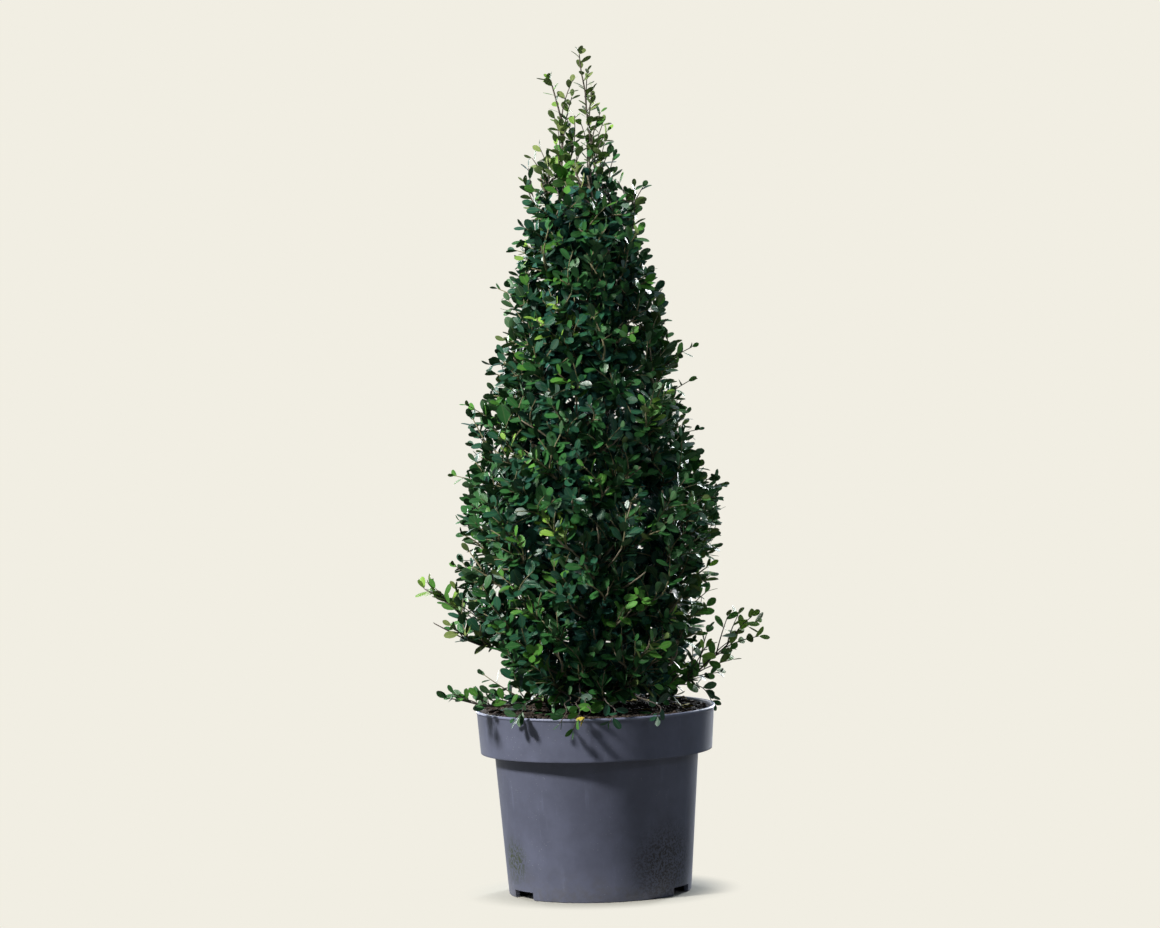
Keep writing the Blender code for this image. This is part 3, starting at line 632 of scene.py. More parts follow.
    def grow_loose(self):
        """Twigs round each loose stem by the golden angle, wide at its foot and closing towards its tip."""
        rng = self.rng
        for mass in self.masses:
            if mass.clipped:
                continue
            dress = LOOSE_DRESS[mass.name]
            leaf, storey = self.leaf_length * dress.leaf, mass.storey
            axis = (mass.stem[-1] - mass.stem[0]).normalized()
            side = axis.orthogonal().normalized()
            end = mass.stem[-1] + (axis + UP * 0.1).normalized() * dress.runs_on
            stem = resampled([*mass.stem, end], STEM_STEP)
            if storey != "top":
                self.add_twig(stem[-4:], (LOOSE_STEM_RADII[1], 0.0005), storey, LEADER_BARK, carries=False)
            for index in range(dress.twigs):
                share = (index + 0.6) / dress.twigs
                width = mass.spread * (1.0 - dress.closing * share) * rng.uniform(0.7, 1.15)
                around = Matrix.Rotation(index * GOLDEN_ANGLE, 3, axis) @ side
                if around.z < 0.0:
                    around.z *= dress.below
                target = along(stem, share * dress.until) + around * width + axis * (0.75 * width)
                target += UP * (0.35 * width)
                if target.z < RIM_CLEAR:
                    target.z = RIM_CLEAR + 0.3 * (RIM_CLEAR - target.z)
                at = max(0.03, share * dress.until - 0.06)
                tint, count = rng.choice(dress.tints), rng.randrange(*dress.twig_leaves)
                foot, lead = along(stem, at), (heading(stem, at) + around * 0.9).normalized()
                leafy = {"bark": LEADER_BARK, "up": 0.5, "light": SPRAY_LIGHT}
                self.shoot(foot, target, lead, leaf, count, tint, storey, LOOSE_TWIG_SPACING, **leafy)
            spacing, leafy = (0.42, {}) if storey == "top" else (0.62, {"up": 1.1, "light": SPRAY_LIGHT})
            out = level(mass.tip)
            self.clothe(stem, leaf, dress.own_leaves, leaf * spacing, dress.tints[0], storey, out, **leafy)

    def grow_clipped_twigs(self):
        """Twigs to points spread over the clipped cone, each from the nearest clipped mass's stem."""
        clipped = [mass for mass in self.masses if mass.clipped]
        targets = golden_points(CLIPPED_TWIGS, 1.0)
        places = np.array(targets)
        distances = np.array([distances_to(mass.stem, places) for mass in clipped])
        for target, nearest in zip(targets, distances.argmin(axis=0)):
            mass = clipped[nearest]
            end = target - (level(target) * 0.72 + UP * 0.30) * 0.034
            foot_height = end.z - TWIG_RISE * (end - mass.stem[1]).xy.length
            share = (foot_height - mass.stem[0].z) / (mass.stem[-1].z - mass.stem[0].z)
            foot = along(mass.stem, min(max(share, 0.06), 0.94))
            length = (end - foot).length
            if length > 0.012:
                route = bowed_route(foot, end, -TWIG_SAG * length, 6)
                kinked = [point + self.scatter(TWIG_KINKS) for point in route[1:-1]]
                self.add_twig([route[0], *kinked, route[-1]], TWIG_RADII, mass.storey)

    def grow_escaped_shoots(self):
        """The shoots that stand out past the cone."""
        for azimuth, height, reach in ESCAPED_SHOOTS:
            tip = polar(azimuth, reach - 0.006, height)
            out = polar(azimuth, 1.0, 0.0)
            foot, lead, storey, _ = self.carrier(tip - out * 0.055 - UP * 0.030)
            tint = FRESH if self.rng.random() < 0.5 else GREEN
            self.shoot(foot, tip, lead, ESCAPED_LEAF, ESCAPED_LEAVES, tint, storey, ESCAPED_SPACING)

    def grow_shoulder_shoots(self):
        for x, y, z, leaf, count in SHOULDER_SHOOTS:
            tip = Vector((x / TENTHS, y / TENTHS, z / TENTHS))
            foot, lead, storey, _ = self.carrier(tip - UP * 0.045)
            tint = self.choose_tint(tip, 0.20 + 4.0 * max(0.0, tip.z - 0.84))
            looks = {"spacing": SHOULDER_SPACING, "bark": LEADER_BARK}
            self.shoot(foot, tip, lead, leaf / TENTHS, count, tint, storey, **looks)

    def grow_hanging_shoots(self):
        """The shoots that climb over the pot's rim and hang down outside it."""
        for azimuth, reach, height, count, tint in HANGING_SHOOTS:
            inside, above = polar(azimuth, 0.100, 0.236), polar(azimuth, 0.128, 0.2330)
            over, tip = polar(azimuth + 3.0, 0.1455, 0.2255), polar(azimuth, reach, height)
            foot, _, storey, _ = self.carrier(inside)
            route = smooth_route([foot, inside, above, over, tip], 3)
            self.add_twig(route, HANGING_RADII, storey, LEADER_BARK, carries=False)
            out = (polar(azimuth, 1.0, 0.0) + UP * 0.8).normalized()
            self.clothe(route, HANGING_LEAF, count, HANGING_SPACING, tint, storey, out)

    def grow_clipped_shoots(self):
        """Leafy shoots in layers from the cone's outline inwards, each from the twig nearest below it."""
        rng = self.rng
        for layer, (share, count, leaves) in enumerate(SHOOT_LAYERS):
            inner = layer >= OUTER_LAYERS
            for target in golden_points(count, share, turn=1.3 * layer):
                out = level(target)
                if rng.random() < (target.z - FULL_SHOOTS_BELOW) / (NO_SHOOTS_FROM - FULL_SHOOTS_BELOW):
                    continue
                if layer < 3:
                    target -= out * (crown_radius(target) * self.gap_at(target))
                leaf = self.leaf_length * rng.uniform(0.85, 1.12) * (1.12 if inner else 1.0)
                grows = (out * rng.uniform(0.35, 1.0) + UP * rng.uniform(0.35, 1.0)).normalized()
                grows = (grows + self.scatter(0.35)).normalized()
                end = target - grows * (0.45 * leaf) - out * rng.uniform(-0.006, 0.006)
                foot, lead, storey, distance = self.carrier(end - grows * rng.uniform(0.026, 0.050))
                if distance > 0.070 or (end - foot).length < 0.010:
                    continue
                # Inner leaves take the painted shade tint, a blue-green that stands in for the dim light deep
                # in the cone.
                tint = INNER_PAINTED_SHADE if inner else self.choose_tint(end)
                number = leaves + rng.randrange(4)
                bare = layer == 0 and rng.random() < 0.22
                if bare:
                    number = rng.randrange(4, 7)
                self.shoot(foot, end, lead, leaf, number, tint, storey, stout=bare, inner=inner)

    def gap_at(self, target):
        """How deep the leaves stand back, as a share of the radius: between tufts and in the hollows."""
        tuft = noise.noise(target * TUFT_FINENESS)
        gap = GAP_DEPTH * min(1.0, max(0.0, (-tuft - 0.06) / 0.26))
        deepest = 0.0
        for azimuth, height, size in HOLLOWS:
            angle = math.atan2(target.y, target.x) - math.radians(azimuth)
            sideways = 2.0 * math.sin(0.5 * angle) * crown_radius(target)
            apart = math.hypot(sideways, target.z - height) / size
            deepest = max(deepest, min(1.0, 1.4 * math.exp(-apart * apart)))
        return max(gap, HOLLOW_DEPTH * deepest)

    def drop_leaves_that_touch(self, limbs):
        """A leaf that would cut a limb, the pot's rim or the soil isn't grown."""
        roots = np.array([leaf.root for leaf in self.leaves])
        spans = np.array([leaf.direction.normalized() * leaf.length for leaf in self.leaves])
        keep = np.ones(len(roots), bool)
        for share in (0.0, 0.5, 1.0):
            points = roots + spans * share
            for route, radii in limbs.values():
                keep &= distances_to(route, points) > max(radii) + 0.001
            height, radius = points[:, 2], np.hypot(points[:, 0], points[:, 1])
            keep &= ~((height < SOIL_CLEAR[0]) & (radius < SOIL_CLEAR[1]))
            keep &= ~((height < LIP_CLEAR[0]) & (radius > LIP_CLEAR[1]) & (radius < LIP_CLEAR[2]))
            keep &= height > LOWEST_LEAF
        self.leaves = [leaf for leaf, kept in zip(self.leaves, keep) if kept]


def golden_points(count, share, turn=0.0):
    """Points spread evenly over the clipped cone, at this share of its radius."""
    low, high = CROWN_OUTLINE[0][0] + 0.010, CROWN_OUTLINE[-1][0] - 0.004
    rings = [low + (high - low) * (ring + 0.5) / 90 for ring in range(90)]
    weights = [0.02 + crown_radius(UP * height) for height in rings]
    made, due = [], 0.0
    for height, weight in zip(rings, weights):
        due += count * weight / sum(weights)
        while len(made) + 0.5 < due:
            angle = len(made) * GOLDEN_ANGLE + turn
            out = Vector((math.cos(angle), math.sin(angle), 0.0))
            made.append(out * crown_radius(out + UP * height) * share + UP * height)
    return made


# ---- Meshes from arrays ----


def mesh_object(name, points, faces, finishes, slots=None, smooth=True):
    """A mesh object from an array of points and a list of (faces, slot) arrays of one face size each."""
    mesh = bpy.data.meshes.new(name)
    mesh.vertices.add(len(points))
    mesh.vertices.foreach_set("co", np.asarray(points, np.float32).ravel())
    loops = np.concatenate([face.ravel() for face in faces])
    sizes = np.concatenate([np.full(len(face), face.shape[1]) for face in faces])
    mesh.loops.add(len(loops))
    mesh.loops.foreach_set("vertex_index", loops.astype(np.int32))
    mesh.polygons.add(len(sizes))
    starts = np.concatenate([[0], np.cumsum(sizes)[:-1]])
    mesh.polygons.foreach_set("loop_start", starts.astype(np.int32))
    if slots is not None:
        mesh.polygons.foreach_set("material_index", np.concatenate(slots).astype(np.int32))
    mesh.polygons.foreach_set("use_smooth", np.full(len(sizes), smooth))
    mesh.update(calc_edges=True)
    for finish in finishes:
        mesh.materials.append(finish)
    made = bpy.data.objects.new(name, mesh)
    bpy.context.scene.collection.objects.link(made)
    return made


def leaf_form(stations):
    """A leaf's points as (along, across, edge, underside), and its faces: first the upper, then the under."""
    points = [(0.0, 0.0, 0.0, 0.0)]
    for share, half in stations:
        points += [(share, half, 1.0, 0.0), (share, 0.0, 0.0, 0.0)]
        points += [(share, -half, 1.0, 0.0), (share, 0.0, 0.0, 1.0)]
    points.append((1.0, 0.0, 0.0, 0.0))
    last, tip = len(stations) - 1, len(points) - 1
    quads, triangles = [], []
    for middle, way in ((1, 1), (3, -1)):
        rows = [[1 + 4 * station + place for place in (0, middle, 2)] for station in range(last + 1)]
        side = []
        for here, ahead in zip(rows, rows[1:]):
            side += [(here[1], ahead[1], ahead[0], here[0]), (here[2], ahead[2], ahead[1], here[1])]
        first, end = rows[0], rows[-1]
        ends = [(0, first[1], first[0]), (0, first[2], first[1])]
        ends += [(end[1], tip, end[0]), (end[2], tip, end[1])]
        quads.append([face[::way] for face in side])
        triangles.append([face[::way] for face in ends])
    return np.array(points), np.array(quads), np.array(triangles)


def leaves_object(name, leaves, stations, finishes):
    """Many leaves as one mesh: each a folded, bent blade with an upper and an under side."""
    form, quads, triangles = leaf_form(stations)
    size = len(form)

    def each(value):
        return np.array([value(leaf) for leaf in leaves])

    length, width = each(lambda leaf: leaf.length)[:, None], each(lambda leaf: leaf.width)[:, None]
    cup, bend = each(lambda leaf: leaf.cup)[:, None], each(lambda leaf: leaf.bend)[:, None]
    t, y, edge, under = form.T
    ahead = length * (t - 0.4 * np.abs(bend) * t**3)
    across = length * width * y
    lift = length * (cup * edge * (np.abs(y) / 0.28) - bend * t**2 - LEAF_THICKNESS * under)
    direction = each(lambda leaf: leaf.direction.normalized())
    sideways = np.cross(each(lambda leaf: leaf.face), direction)
    sideways /= np.linalg.norm(sideways, axis=1)[:, None]
    normal = np.cross(direction, sideways)
    points = each(lambda leaf: leaf.root)[:, None] + ahead[..., None] * direction[:, None]
    points = points + across[..., None] * sideways[:, None] + lift[..., None] * normal[:, None]
    base = (np.arange(len(leaves)) * size)[:, None, None]
    tints = each(lambda leaf: leaf.tint), each(lambda leaf: UNDER_OF[leaf.tint])
    faces, slots = [], []
    for kind in (quads, triangles):
        for side, of_side in zip(kind, tints):
            faces.append((side[None] + base).reshape(-1, side.shape[1]))
            slots.append(np.repeat(of_side, len(side)))
    made = mesh_object(name, points.reshape(-1, 3), faces, finishes, slots)
    mesh = made.data
    corners = np.empty(len(mesh.loops), np.int32)
    mesh.loops.foreach_get("vertex_index", corners)
    chart = np.stack([form[:, 0], 0.5 + form[:, 1] / 0.6], axis=1)
    mesh.uv_layers.new(name="blade").data.foreach_set("uv", chart[corners % size].astype(np.float32).ravel())
    tone = mesh.attributes.new("leaf_tone", "FLOAT", "POINT")
    tone.data.foreach_set("value", np.repeat(each(lambda leaf: leaf.tone), size).astype(np.float32))
    # The blade's outline is a crease between its two sides.
    ends = np.empty(2 * len(mesh.edges), np.int32)
    mesh.edges.foreach_get("vertices", ends)
    on_outline = (form[:, 2] > 0.5) | (form[:, 0] == 0.0) | (form[:, 0] == 1.0)
    sharp = on_outline[ends % size].reshape(-1, 2).all(axis=1)
    mesh.attributes.new("sharp_edge", "BOOLEAN", "EDGE").data.foreach_set("value", sharp)
    return made


def tube_rings(route, radii, sides):
    """The rings of points round a route, which turn with it without twisting."""
    axis = (route[1] - route[0]).normalized()
    side = axis.orthogonal().normalized()
    rings = []
    for index, (place, radius) in enumerate(zip(route, radii)):
        ahead = route[min(index + 1, len(route) - 1)] - route[max(index - 1, 0)]
        axis = ahead.normalized()
        side = (side - axis * side.dot(axis)).normalized()
        other = axis.cross(side)
        for corner in range(sides):
            angle = math.tau * corner / sides
            rings.append(place + (side * math.cos(angle) + other * math.sin(angle)) * radius)
    return rings


def twigs_object(name, twigs, finishes):
    """Many twigs as one mesh: tapering tubes, closed at both ends."""
    points, quads, quad_slots, caps, cap_slots = [], [], [], [], []
    sides = 5
    for twig in twigs:
        base, rings = len(points), len(twig.route)
        radii = tapered(*twig.radii, rings)
        points += tube_rings(twig.route, radii, sides)
        for ring in range(rings - 1):
            for corner in range(sides):
                beside = (corner + 1) % sides
                low, high = base + ring * sides, base + (ring + 1) * sides
                quads.append((low + corner, low + beside, high + beside, high + corner))
                quad_slots.append(twig.bark)
        caps.append([base + corner for corner in reversed(range(sides))])
        caps.append([base + (rings - 1) * sides + corner for corner in range(sides)])
        cap_slots += [twig.bark] * 2
    faces = [np.array(quads), np.array(caps)]
    return mesh_object(name, points, faces, finishes, [np.array(quad_slots), np.array(cap_slots)])


# ---- Shader node helpers ----


class Nodes:
    """A node tree, with short ways to add its nodes and link them."""

    def __init__(self, tree):
        self.tree = tree

    def wire(self, node, inputs):
        """Sets or links a node's inputs, given by their name or place."""
        for key, value in dict(inputs).items():
            if isinstance(value, bpy.types.NodeSocket):
                self.tree.links.new(value, node.inputs[key])
            else:
                node.inputs[key].default_value = value
        return node

    def add(self, kind, inputs=(), **values):
        made = self.tree.nodes.new("ShaderNode" + kind)
        for key, value in values.items():
            setattr(made, key, value)
        return self.wire(made, inputs)

    def maths(self, operation, *given):
        return self.add("Math", enumerate(given), operation=operation).outputs[0]

    def times(self, a, b):
        return self.maths("MULTIPLY", a, b)

    def mix(self, factor, a, b):
        given = {0: factor, 6: a, 7: b}
        return self.add("Mix", given, data_type="RGBA", clamp_factor=True).outputs[2]

    def step(self, value, low, high, start=0.0, end=1.0):
        """From start to end, smoothly, while the value goes from low to high."""
        given = {"Value": value, "From Min": low, "From Max": high, "To Min": start, "To Max": end}
        return self.add("MapRange", given, interpolation_type="SMOOTHSTEP").outputs[0]

    def noise(self, vector, scale, detail=3.0, roughness=0.5, stretch=None):
        if stretch:
            vector = self.add("Mapping", {"Vector": vector, "Scale": stretch}).outputs[0]
        given = {"Vector": vector, "Scale": scale, "Detail": detail, "Roughness": roughness}
        return self.add("TexNoise", given).outputs["Fac"]


class Finish(Nodes):
    """A new material, with its shader and the place on its object."""

    def __init__(self, name):
        self.material = bpy.data.materials.new(name)
        self.material.use_nodes = True
        super().__init__(self.material.node_tree)
        self.shader = self.tree.nodes["Principled BSDF"]
        self.where = self.add("TexCoord").outputs["Object"]

    def speckled(self, base, scale, size, tint):
        """The colour with small spots of a tint over it."""
        given = {"Vector": self.where, "Scale": scale, "Size": size}
        spots = self.add("Group", given, node_tree=speckles()).outputs[0]
        return self.mix(self.times(spots, 0.55), base, rgba(tint))

    def done(self, colour, roughness, height, strength, distance, others=()):
        """The material, with its colour, roughness and relief."""
        normal = self.add("Bump", {"Height": height, "Strength": strength, "Distance": distance}).outputs[0]
        self.wire(self.shader, {"Base Color": colour, "Roughness": roughness, "Normal": normal})
        self.wire(self.shader, others)
        return self.material


def rgba(colour, factor=1.0):
    return (*[min(1.0, channel * factor) for channel in colour], 1.0)


def shared_group(name, inputs, build):
    """A shader node group that puts out values, built once. An input with no default is a vector."""
    if name in bpy.data.node_groups:
        return bpy.data.node_groups[name]
    tree = bpy.data.node_groups.new(name, "ShaderNodeTree")
    for label, default in inputs.items():
        kind = "NodeSocketVector" if default is None else "NodeSocketFloat"
        socket = tree.interface.new_socket(label, in_out="INPUT", socket_type=kind)
        if default is not None:
            socket.default_value = default
    made = Nodes(tree)
    results = build(made, tree.nodes.new("NodeGroupInput").outputs)
    for label in results:
        tree.interface.new_socket(label, in_out="OUTPUT", socket_type="NodeSocketFloat")
    made.wire(tree.nodes.new("NodeGroupOutput"), results)
    return tree


def leaf_veins():
    """The midrib and side veins of a blade, from its own map."""

    def build(made, given):
        parts = made.add("SeparateXYZ", {0: given["Map"]}).outputs
        off = made.maths("ABSOLUTE", made.maths("SUBTRACT", parts[1], 0.5))
        rib = made.step(made.maths("DIVIDE", off, given["Rib Width"]), 0.25, 1.0, 1.0, 0.0)
        slanted = made.maths("SUBTRACT", parts[0], made.times(off, 0.9))
        vein = made.step(made.maths("SINE", made.times(slanted, 44.0)), 0.72, 1.0)
        return {"Midrib": rib, "Height": made.maths("SUBTRACT", made.times(vein, -0.25), rib)}

    return shared_group("leaf veins", {"Map": None, "Rib Width": 0.03}, build)


def speckles():
    """Small scattered spots, as of dust, lime or lenticels."""

    def build(made, given):
        place = {"Vector": given["Vector"], "Scale": given["Scale"]}
        cells = made.add("TexVoronoi", place).outputs["Distance"]
        patches = made.step(made.noise(given["Vector"], 19.0, 2.0), 0.35, 0.75)
        size = made.times(given["Size"], patches)
        return {"Spots": made.step(made.maths("SUBTRACT", cells, size), 0.0, 0.05, 1.0, 0.0)}

    return shared_group("speckles", {"Vector": None, "Scale": 100.0, "Size": 0.1}, build)


def leaf_finish(name, colour, pale, roughness, specular, coat, rib_strength):
    """A leaf's surface: its own colour with a tone for each leaf, a pale midrib and faint veins."""
    made = Finish(name)
    chart = made.add("UVMap", uv_map="blade").outputs[0]
    tone = made.add("Attribute", attribute_name="leaf_tone").outputs["Fac"]
    veins = made.add("Group", {"Map": chart, "Rib Width": 0.045}, node_tree=leaf_veins()).outputs
    mottle = made.noise(made.where, 420.0)
    base = made.mix(tone, rgba(colour, 0.70), rgba(colour, 1.30))
    base = made.mix(made.times(mottle, 0.35), base, rgba(colour, 0.55))
    base = made.mix(made.times(veins["Midrib"], rib_strength), base, rgba(pale))
    rough = made.maths("MULTIPLY_ADD", mottle, 0.22, roughness - 0.11)
    gloss = {"Specular IOR Level": specular, "Coat Weight": coat, "Coat Roughness": 0.32}
    return made.done(base, rough, veins["Height"], 0.35, 0.0004, gloss)


def bark_finish(name, colour, dark, scale, grain):
    """Bark: streaked along the limb, with pale specks and a rough relief."""
    made = Finish(name)
    streaks = made.noise(made.where, scale, 5.0, 0.6, stretch=(1.0, 1.0, 0.28))
    fine = made.noise(made.where, scale * 4.0, 4.0)
    base = made.mix(made.step(streaks, 0.30, 0.70), rgba(dark), rgba(colour))
    base = made.mix(made.times(fine, 0.5), base, rgba(colour, 1.35))
    base = made.speckled(base, 520.0, 0.22, (0.34, 0.29, 0.22))
    rough = made.maths("MULTIPLY_ADD", fine, 0.2, 0.68)
    return made.done(base, rough, made.maths("MULTIPLY_ADD", fine, 0.4, streaks), 0.7, grain)


# ---- Modelling helpers ----


def deselect_all():
    for obj in bpy.context.selected_objects:
        obj.select_set(False)


def activate(obj):
    deselect_all()
    obj.select_set(True)
    bpy.context.view_layer.objects.active = obj


def apply_modifier(obj, kind, name, **values):
    activate(obj)
    made = obj.modifiers.new(name, kind)
    for key, value in values.items():
        setattr(made, key, value)
    bpy.ops.object.modifier_apply(modifier=made.name)


def settle(obj, name):
    """The finished piece: named, with its place in its mesh."""
    activate(obj)
    bpy.ops.object.transform_apply(location=True, rotation=True, scale=True)
    obj.name = name
    obj.data.name = name
    return obj


def dress(obj, *finishes):
    obj.data.materials.clear()
    for finish in finishes:
        obj.data.materials.append(finish)


def smooth_by_angle(obj, degrees):
    activate(obj)
    bpy.ops.object.shade_smooth_by_angle(angle=math.radians(degrees))


def join(objects):
    activate(objects[0])
    for obj in objects:
        obj.select_set(True)
    bpy.ops.object.join()
    return bpy.context.view_layer.objects.active


@contextmanager
def editing():
    """Edit mode for the active object's mesh, and back."""
    bpy.ops.object.mode_set(mode="EDIT")
    yield
    bpy.ops.object.mode_set(mode="OBJECT")


def merge_and_face_outwards():
    bpy.ops.mesh.select_all(action="SELECT")
    bpy.ops.mesh.remove_doubles(threshold=0.00001)
    bpy.ops.mesh.normals_make_consistent(inside=False)


# ---- Sizes and colours ----


def length_value(label, text, default):
    given = {"name": label, "description": text, "default": default}
    return FloatProperty(**given, min=0.0, unit="LENGTH", precision=4)


def colour_value(label, text, default):
    given = {"name": label, "description": text, "default": default}
    return FloatVectorProperty(**given, size=3, min=0.0, max=1.0, subtype="COLOR")


class HollySizes(bpy.types.PropertyGroup):
    pot_height: length_value("Pot height", "Height of the rim above the pot's underside", 0.216)
    rim_radius: length_value("Rim radius", "Radius of the pot over its lip", 0.140)
    collar_height: length_value("Collar height", "Height of the band below the pot's rim", 0.051)
    collar_foot_radius: length_value("Collar foot radius", "Radius of the band at its lower edge", 0.1352)
    body_top_radius: length_value("Body top radius", "Radius of the pot's body under its band", 0.1195)
    body_foot_radius: length_value("Body foot radius", "Radius of the pot at its foot", 0.1065)
    wall: length_value("Wall", "Thickness of the pot's wall", 0.0024)
    leaf_length: length_value("Leaf length", "Length of a full grown leaf", 0.0212)
    crumbs: IntProperty(name="Soil crumbs", description="Bark crumbs on the soil", default=1700, min=0)
    seed: IntProperty(name="Seed", description="Another number grows another plant", default=11)


class HollyColours(bpy.types.PropertyGroup):
    leaf_deep: colour_value("Deep leaf", "Old leaves over most of the cone", (0.017, 0.084, 0.043))
    # The shaded leaf colour is painted shade: it stands in for the dim cool light on the inner leaves.
    leaf_painted_shade: colour_value("Shaded leaf", "Old leaves deep inside the cone", (0.034, 0.128, 0.096))
    leaf_green: colour_value("Green leaf", "Leaves of this year", (0.031, 0.132, 0.033))
    leaf_fresh: colour_value("Fresh leaf", "Leaves of the newest shoots", (0.078, 0.248, 0.036))
    leaf_lime: colour_value("Lime leaf", "The youngest leaves", (0.210, 0.390, 0.055))
    leaf_olive: colour_value("Olive leaf", "Young leaves at the tips", (0.215, 0.285, 0.085))
    leaf_yellow: colour_value("Yellow leaf", "Leaves about to fall", (0.520, 0.420, 0.040))
    leaf_under: colour_value("Underside", "The dull side of an old leaf", (0.055, 0.135, 0.055))
    leaf_under_fresh: colour_value("Young underside", "The dull side of a young leaf", (0.190, 0.280, 0.092))
    bark: colour_value("Bark", "Stem and boughs", (0.125, 0.092, 0.062))
    shoot: colour_value("Young shoot", "Thin shoots that carry the leaves", (0.205, 0.185, 0.100))
    pot: colour_value("Pot", "The pot's grey plastic", (0.130, 0.141, 0.208))
    soil: colour_value("Soil", "Damp potting soil", (0.022, 0.014, 0.010))
    backdrop: colour_value("Backdrop", "The pale floor and what lies behind it", (0.880, 0.855, 0.768))


def sizes():
    return bpy.context.scene.holly_sizes


def colours():
    return bpy.context.scene.holly_colours


# ---- Pot ----

LIP_HEIGHT = 0.0036
LIP_STANDS_OUT = 0.0014
LEDGE_ABOVE_COLLAR_FOOT = 0.005
FOOT_RING_WIDTH = 0.005
CHANNEL_HEIGHT = 0.0095
CENTRE_FOOT_RADIUS = 0.072
FLOOR = 0.003
NOTCH_AZIMUTHS = (-147.0, -27.0, 93.0)
NOTCH_WIDTH = 0.038
NOTCH_HEIGHT = 0.009
# Patches of film and dirt on the pot: their middle, reach, grain, colour and strength.
POT_PATCHES = (
    ((-0.097, -0.048, 0.044), 0.036, 300.0, (0.052, 0.068, 0.024), 1.0),
    ((0.078, -0.074, 0.040), 0.066, 380.0, (0.026, 0.024, 0.022), 0.90),
    ((-0.060, 0.092, 0.045), 0.045, 340.0, (0.080, 0.085, 0.045), 0.55),
)


def pot_profile(given):
    """The pot from the middle of its underside, up its outside, over the lip and down to its floor."""
    collar_foot, rim, top = given.pot_height - given.collar_height, given.rim_radius, given.pot_height
    ledge, wall = collar_foot + LEDGE_ABOVE_COLLAR_FOOT, given.wall
    band, body, foot = given.collar_foot_radius, given.body_top_radius, given.body_foot_radius
    ring_inside, lip_inside = foot - FOOT_RING_WIDTH, rim - LIP_STANDS_OUT - wall
    return [
        (CENTRE_FOOT_RADIUS, CHANNEL_HEIGHT),
        (ring_inside, CHANNEL_HEIGHT),
        (ring_inside, 0.0),
        (foot, 0.0),
        (foot + 0.0012, 0.0140),
        (body, ledge),
        (band - wall, ledge),
        (band - wall, collar_foot),
        (band, collar_foot),
        (band + 0.0002, collar_foot + 0.0025),
        (rim - LIP_STANDS_OUT, top - LIP_HEIGHT),
        (rim, top - LIP_HEIGHT * 0.72),
        (rim, top - LIP_HEIGHT * 0.28),
        (rim - 0.0009, top),
        (lip_inside + 0.0008, top),
        (lip_inside, top - 0.0009),
        (band - wall, ledge + wall),
        (body - wall, ledge + wall),
        (foot - wall, CHANNEL_HEIGHT + FLOOR),
    ]


class HOLLY_OT_pot(bpy.types.Operator):
    """Make the moulded pot"""

    bl_idname = "holly.pot"
    bl_label = "Pot"

    def execute(self, context):
        deselect_all()
        bpy.ops.mesh.primitive_circle_add(vertices=160, radius=CENTRE_FOOT_RADIUS, fill_type="NGON")
        pot = context.object
        with editing():
            bpy.ops.mesh.select_all(action="SELECT")
            radius, height = CENTRE_FOOT_RADIUS, 0.0
            for next_radius, next_height in pot_profile(sizes()):
                rise = {"value": (0.0, 0.0, next_height - height)}
                bpy.ops.mesh.extrude_region_move(TRANSFORM_OT_translate=rise)
                scale = next_radius / radius
                bpy.ops.transform.resize(value=(scale, scale, 1.0), center_override=(0.0, 0.0, next_height))
                radius, height = next_radius, next_height
            merge_and_face_outwards()
        edge = {"width": 0.0007, "segments": 2, "limit_method": "ANGLE", "angle_limit": math.radians(32)}
        apply_modifier(pot, "BEVEL", "moulded edges", **edge)
        self.cut_notches(pot)
        smooth_by_angle(pot, 40)
        settle(pot, "plastic_pot")
        dress(pot, pot_finish())
        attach(pot, "root")
        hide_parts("pot")
        return {"FINISHED"}

    def cut_notches(self, pot):
        """The drain notches through the foot ring."""
        for azimuth in NOTCH_AZIMUTHS:
            deselect_all()
            place, turn = polar(azimuth, sizes().body_foot_radius, 0.0), (0.0, 0.0, math.radians(azimuth))
            bpy.ops.mesh.primitive_cube_add(size=1.0, location=place, rotation=turn)
            notch = bpy.context.object
            notch.scale = (4.0 * FOOT_RING_WIDTH, NOTCH_WIDTH, 2.0 * NOTCH_HEIGHT)
            cut = {"object": notch, "operation": "DIFFERENCE", "solver": "EXACT"}
            apply_modifier(pot, "BOOLEAN", "drain notch", **cut)
            bpy.data.objects.remove(notch)


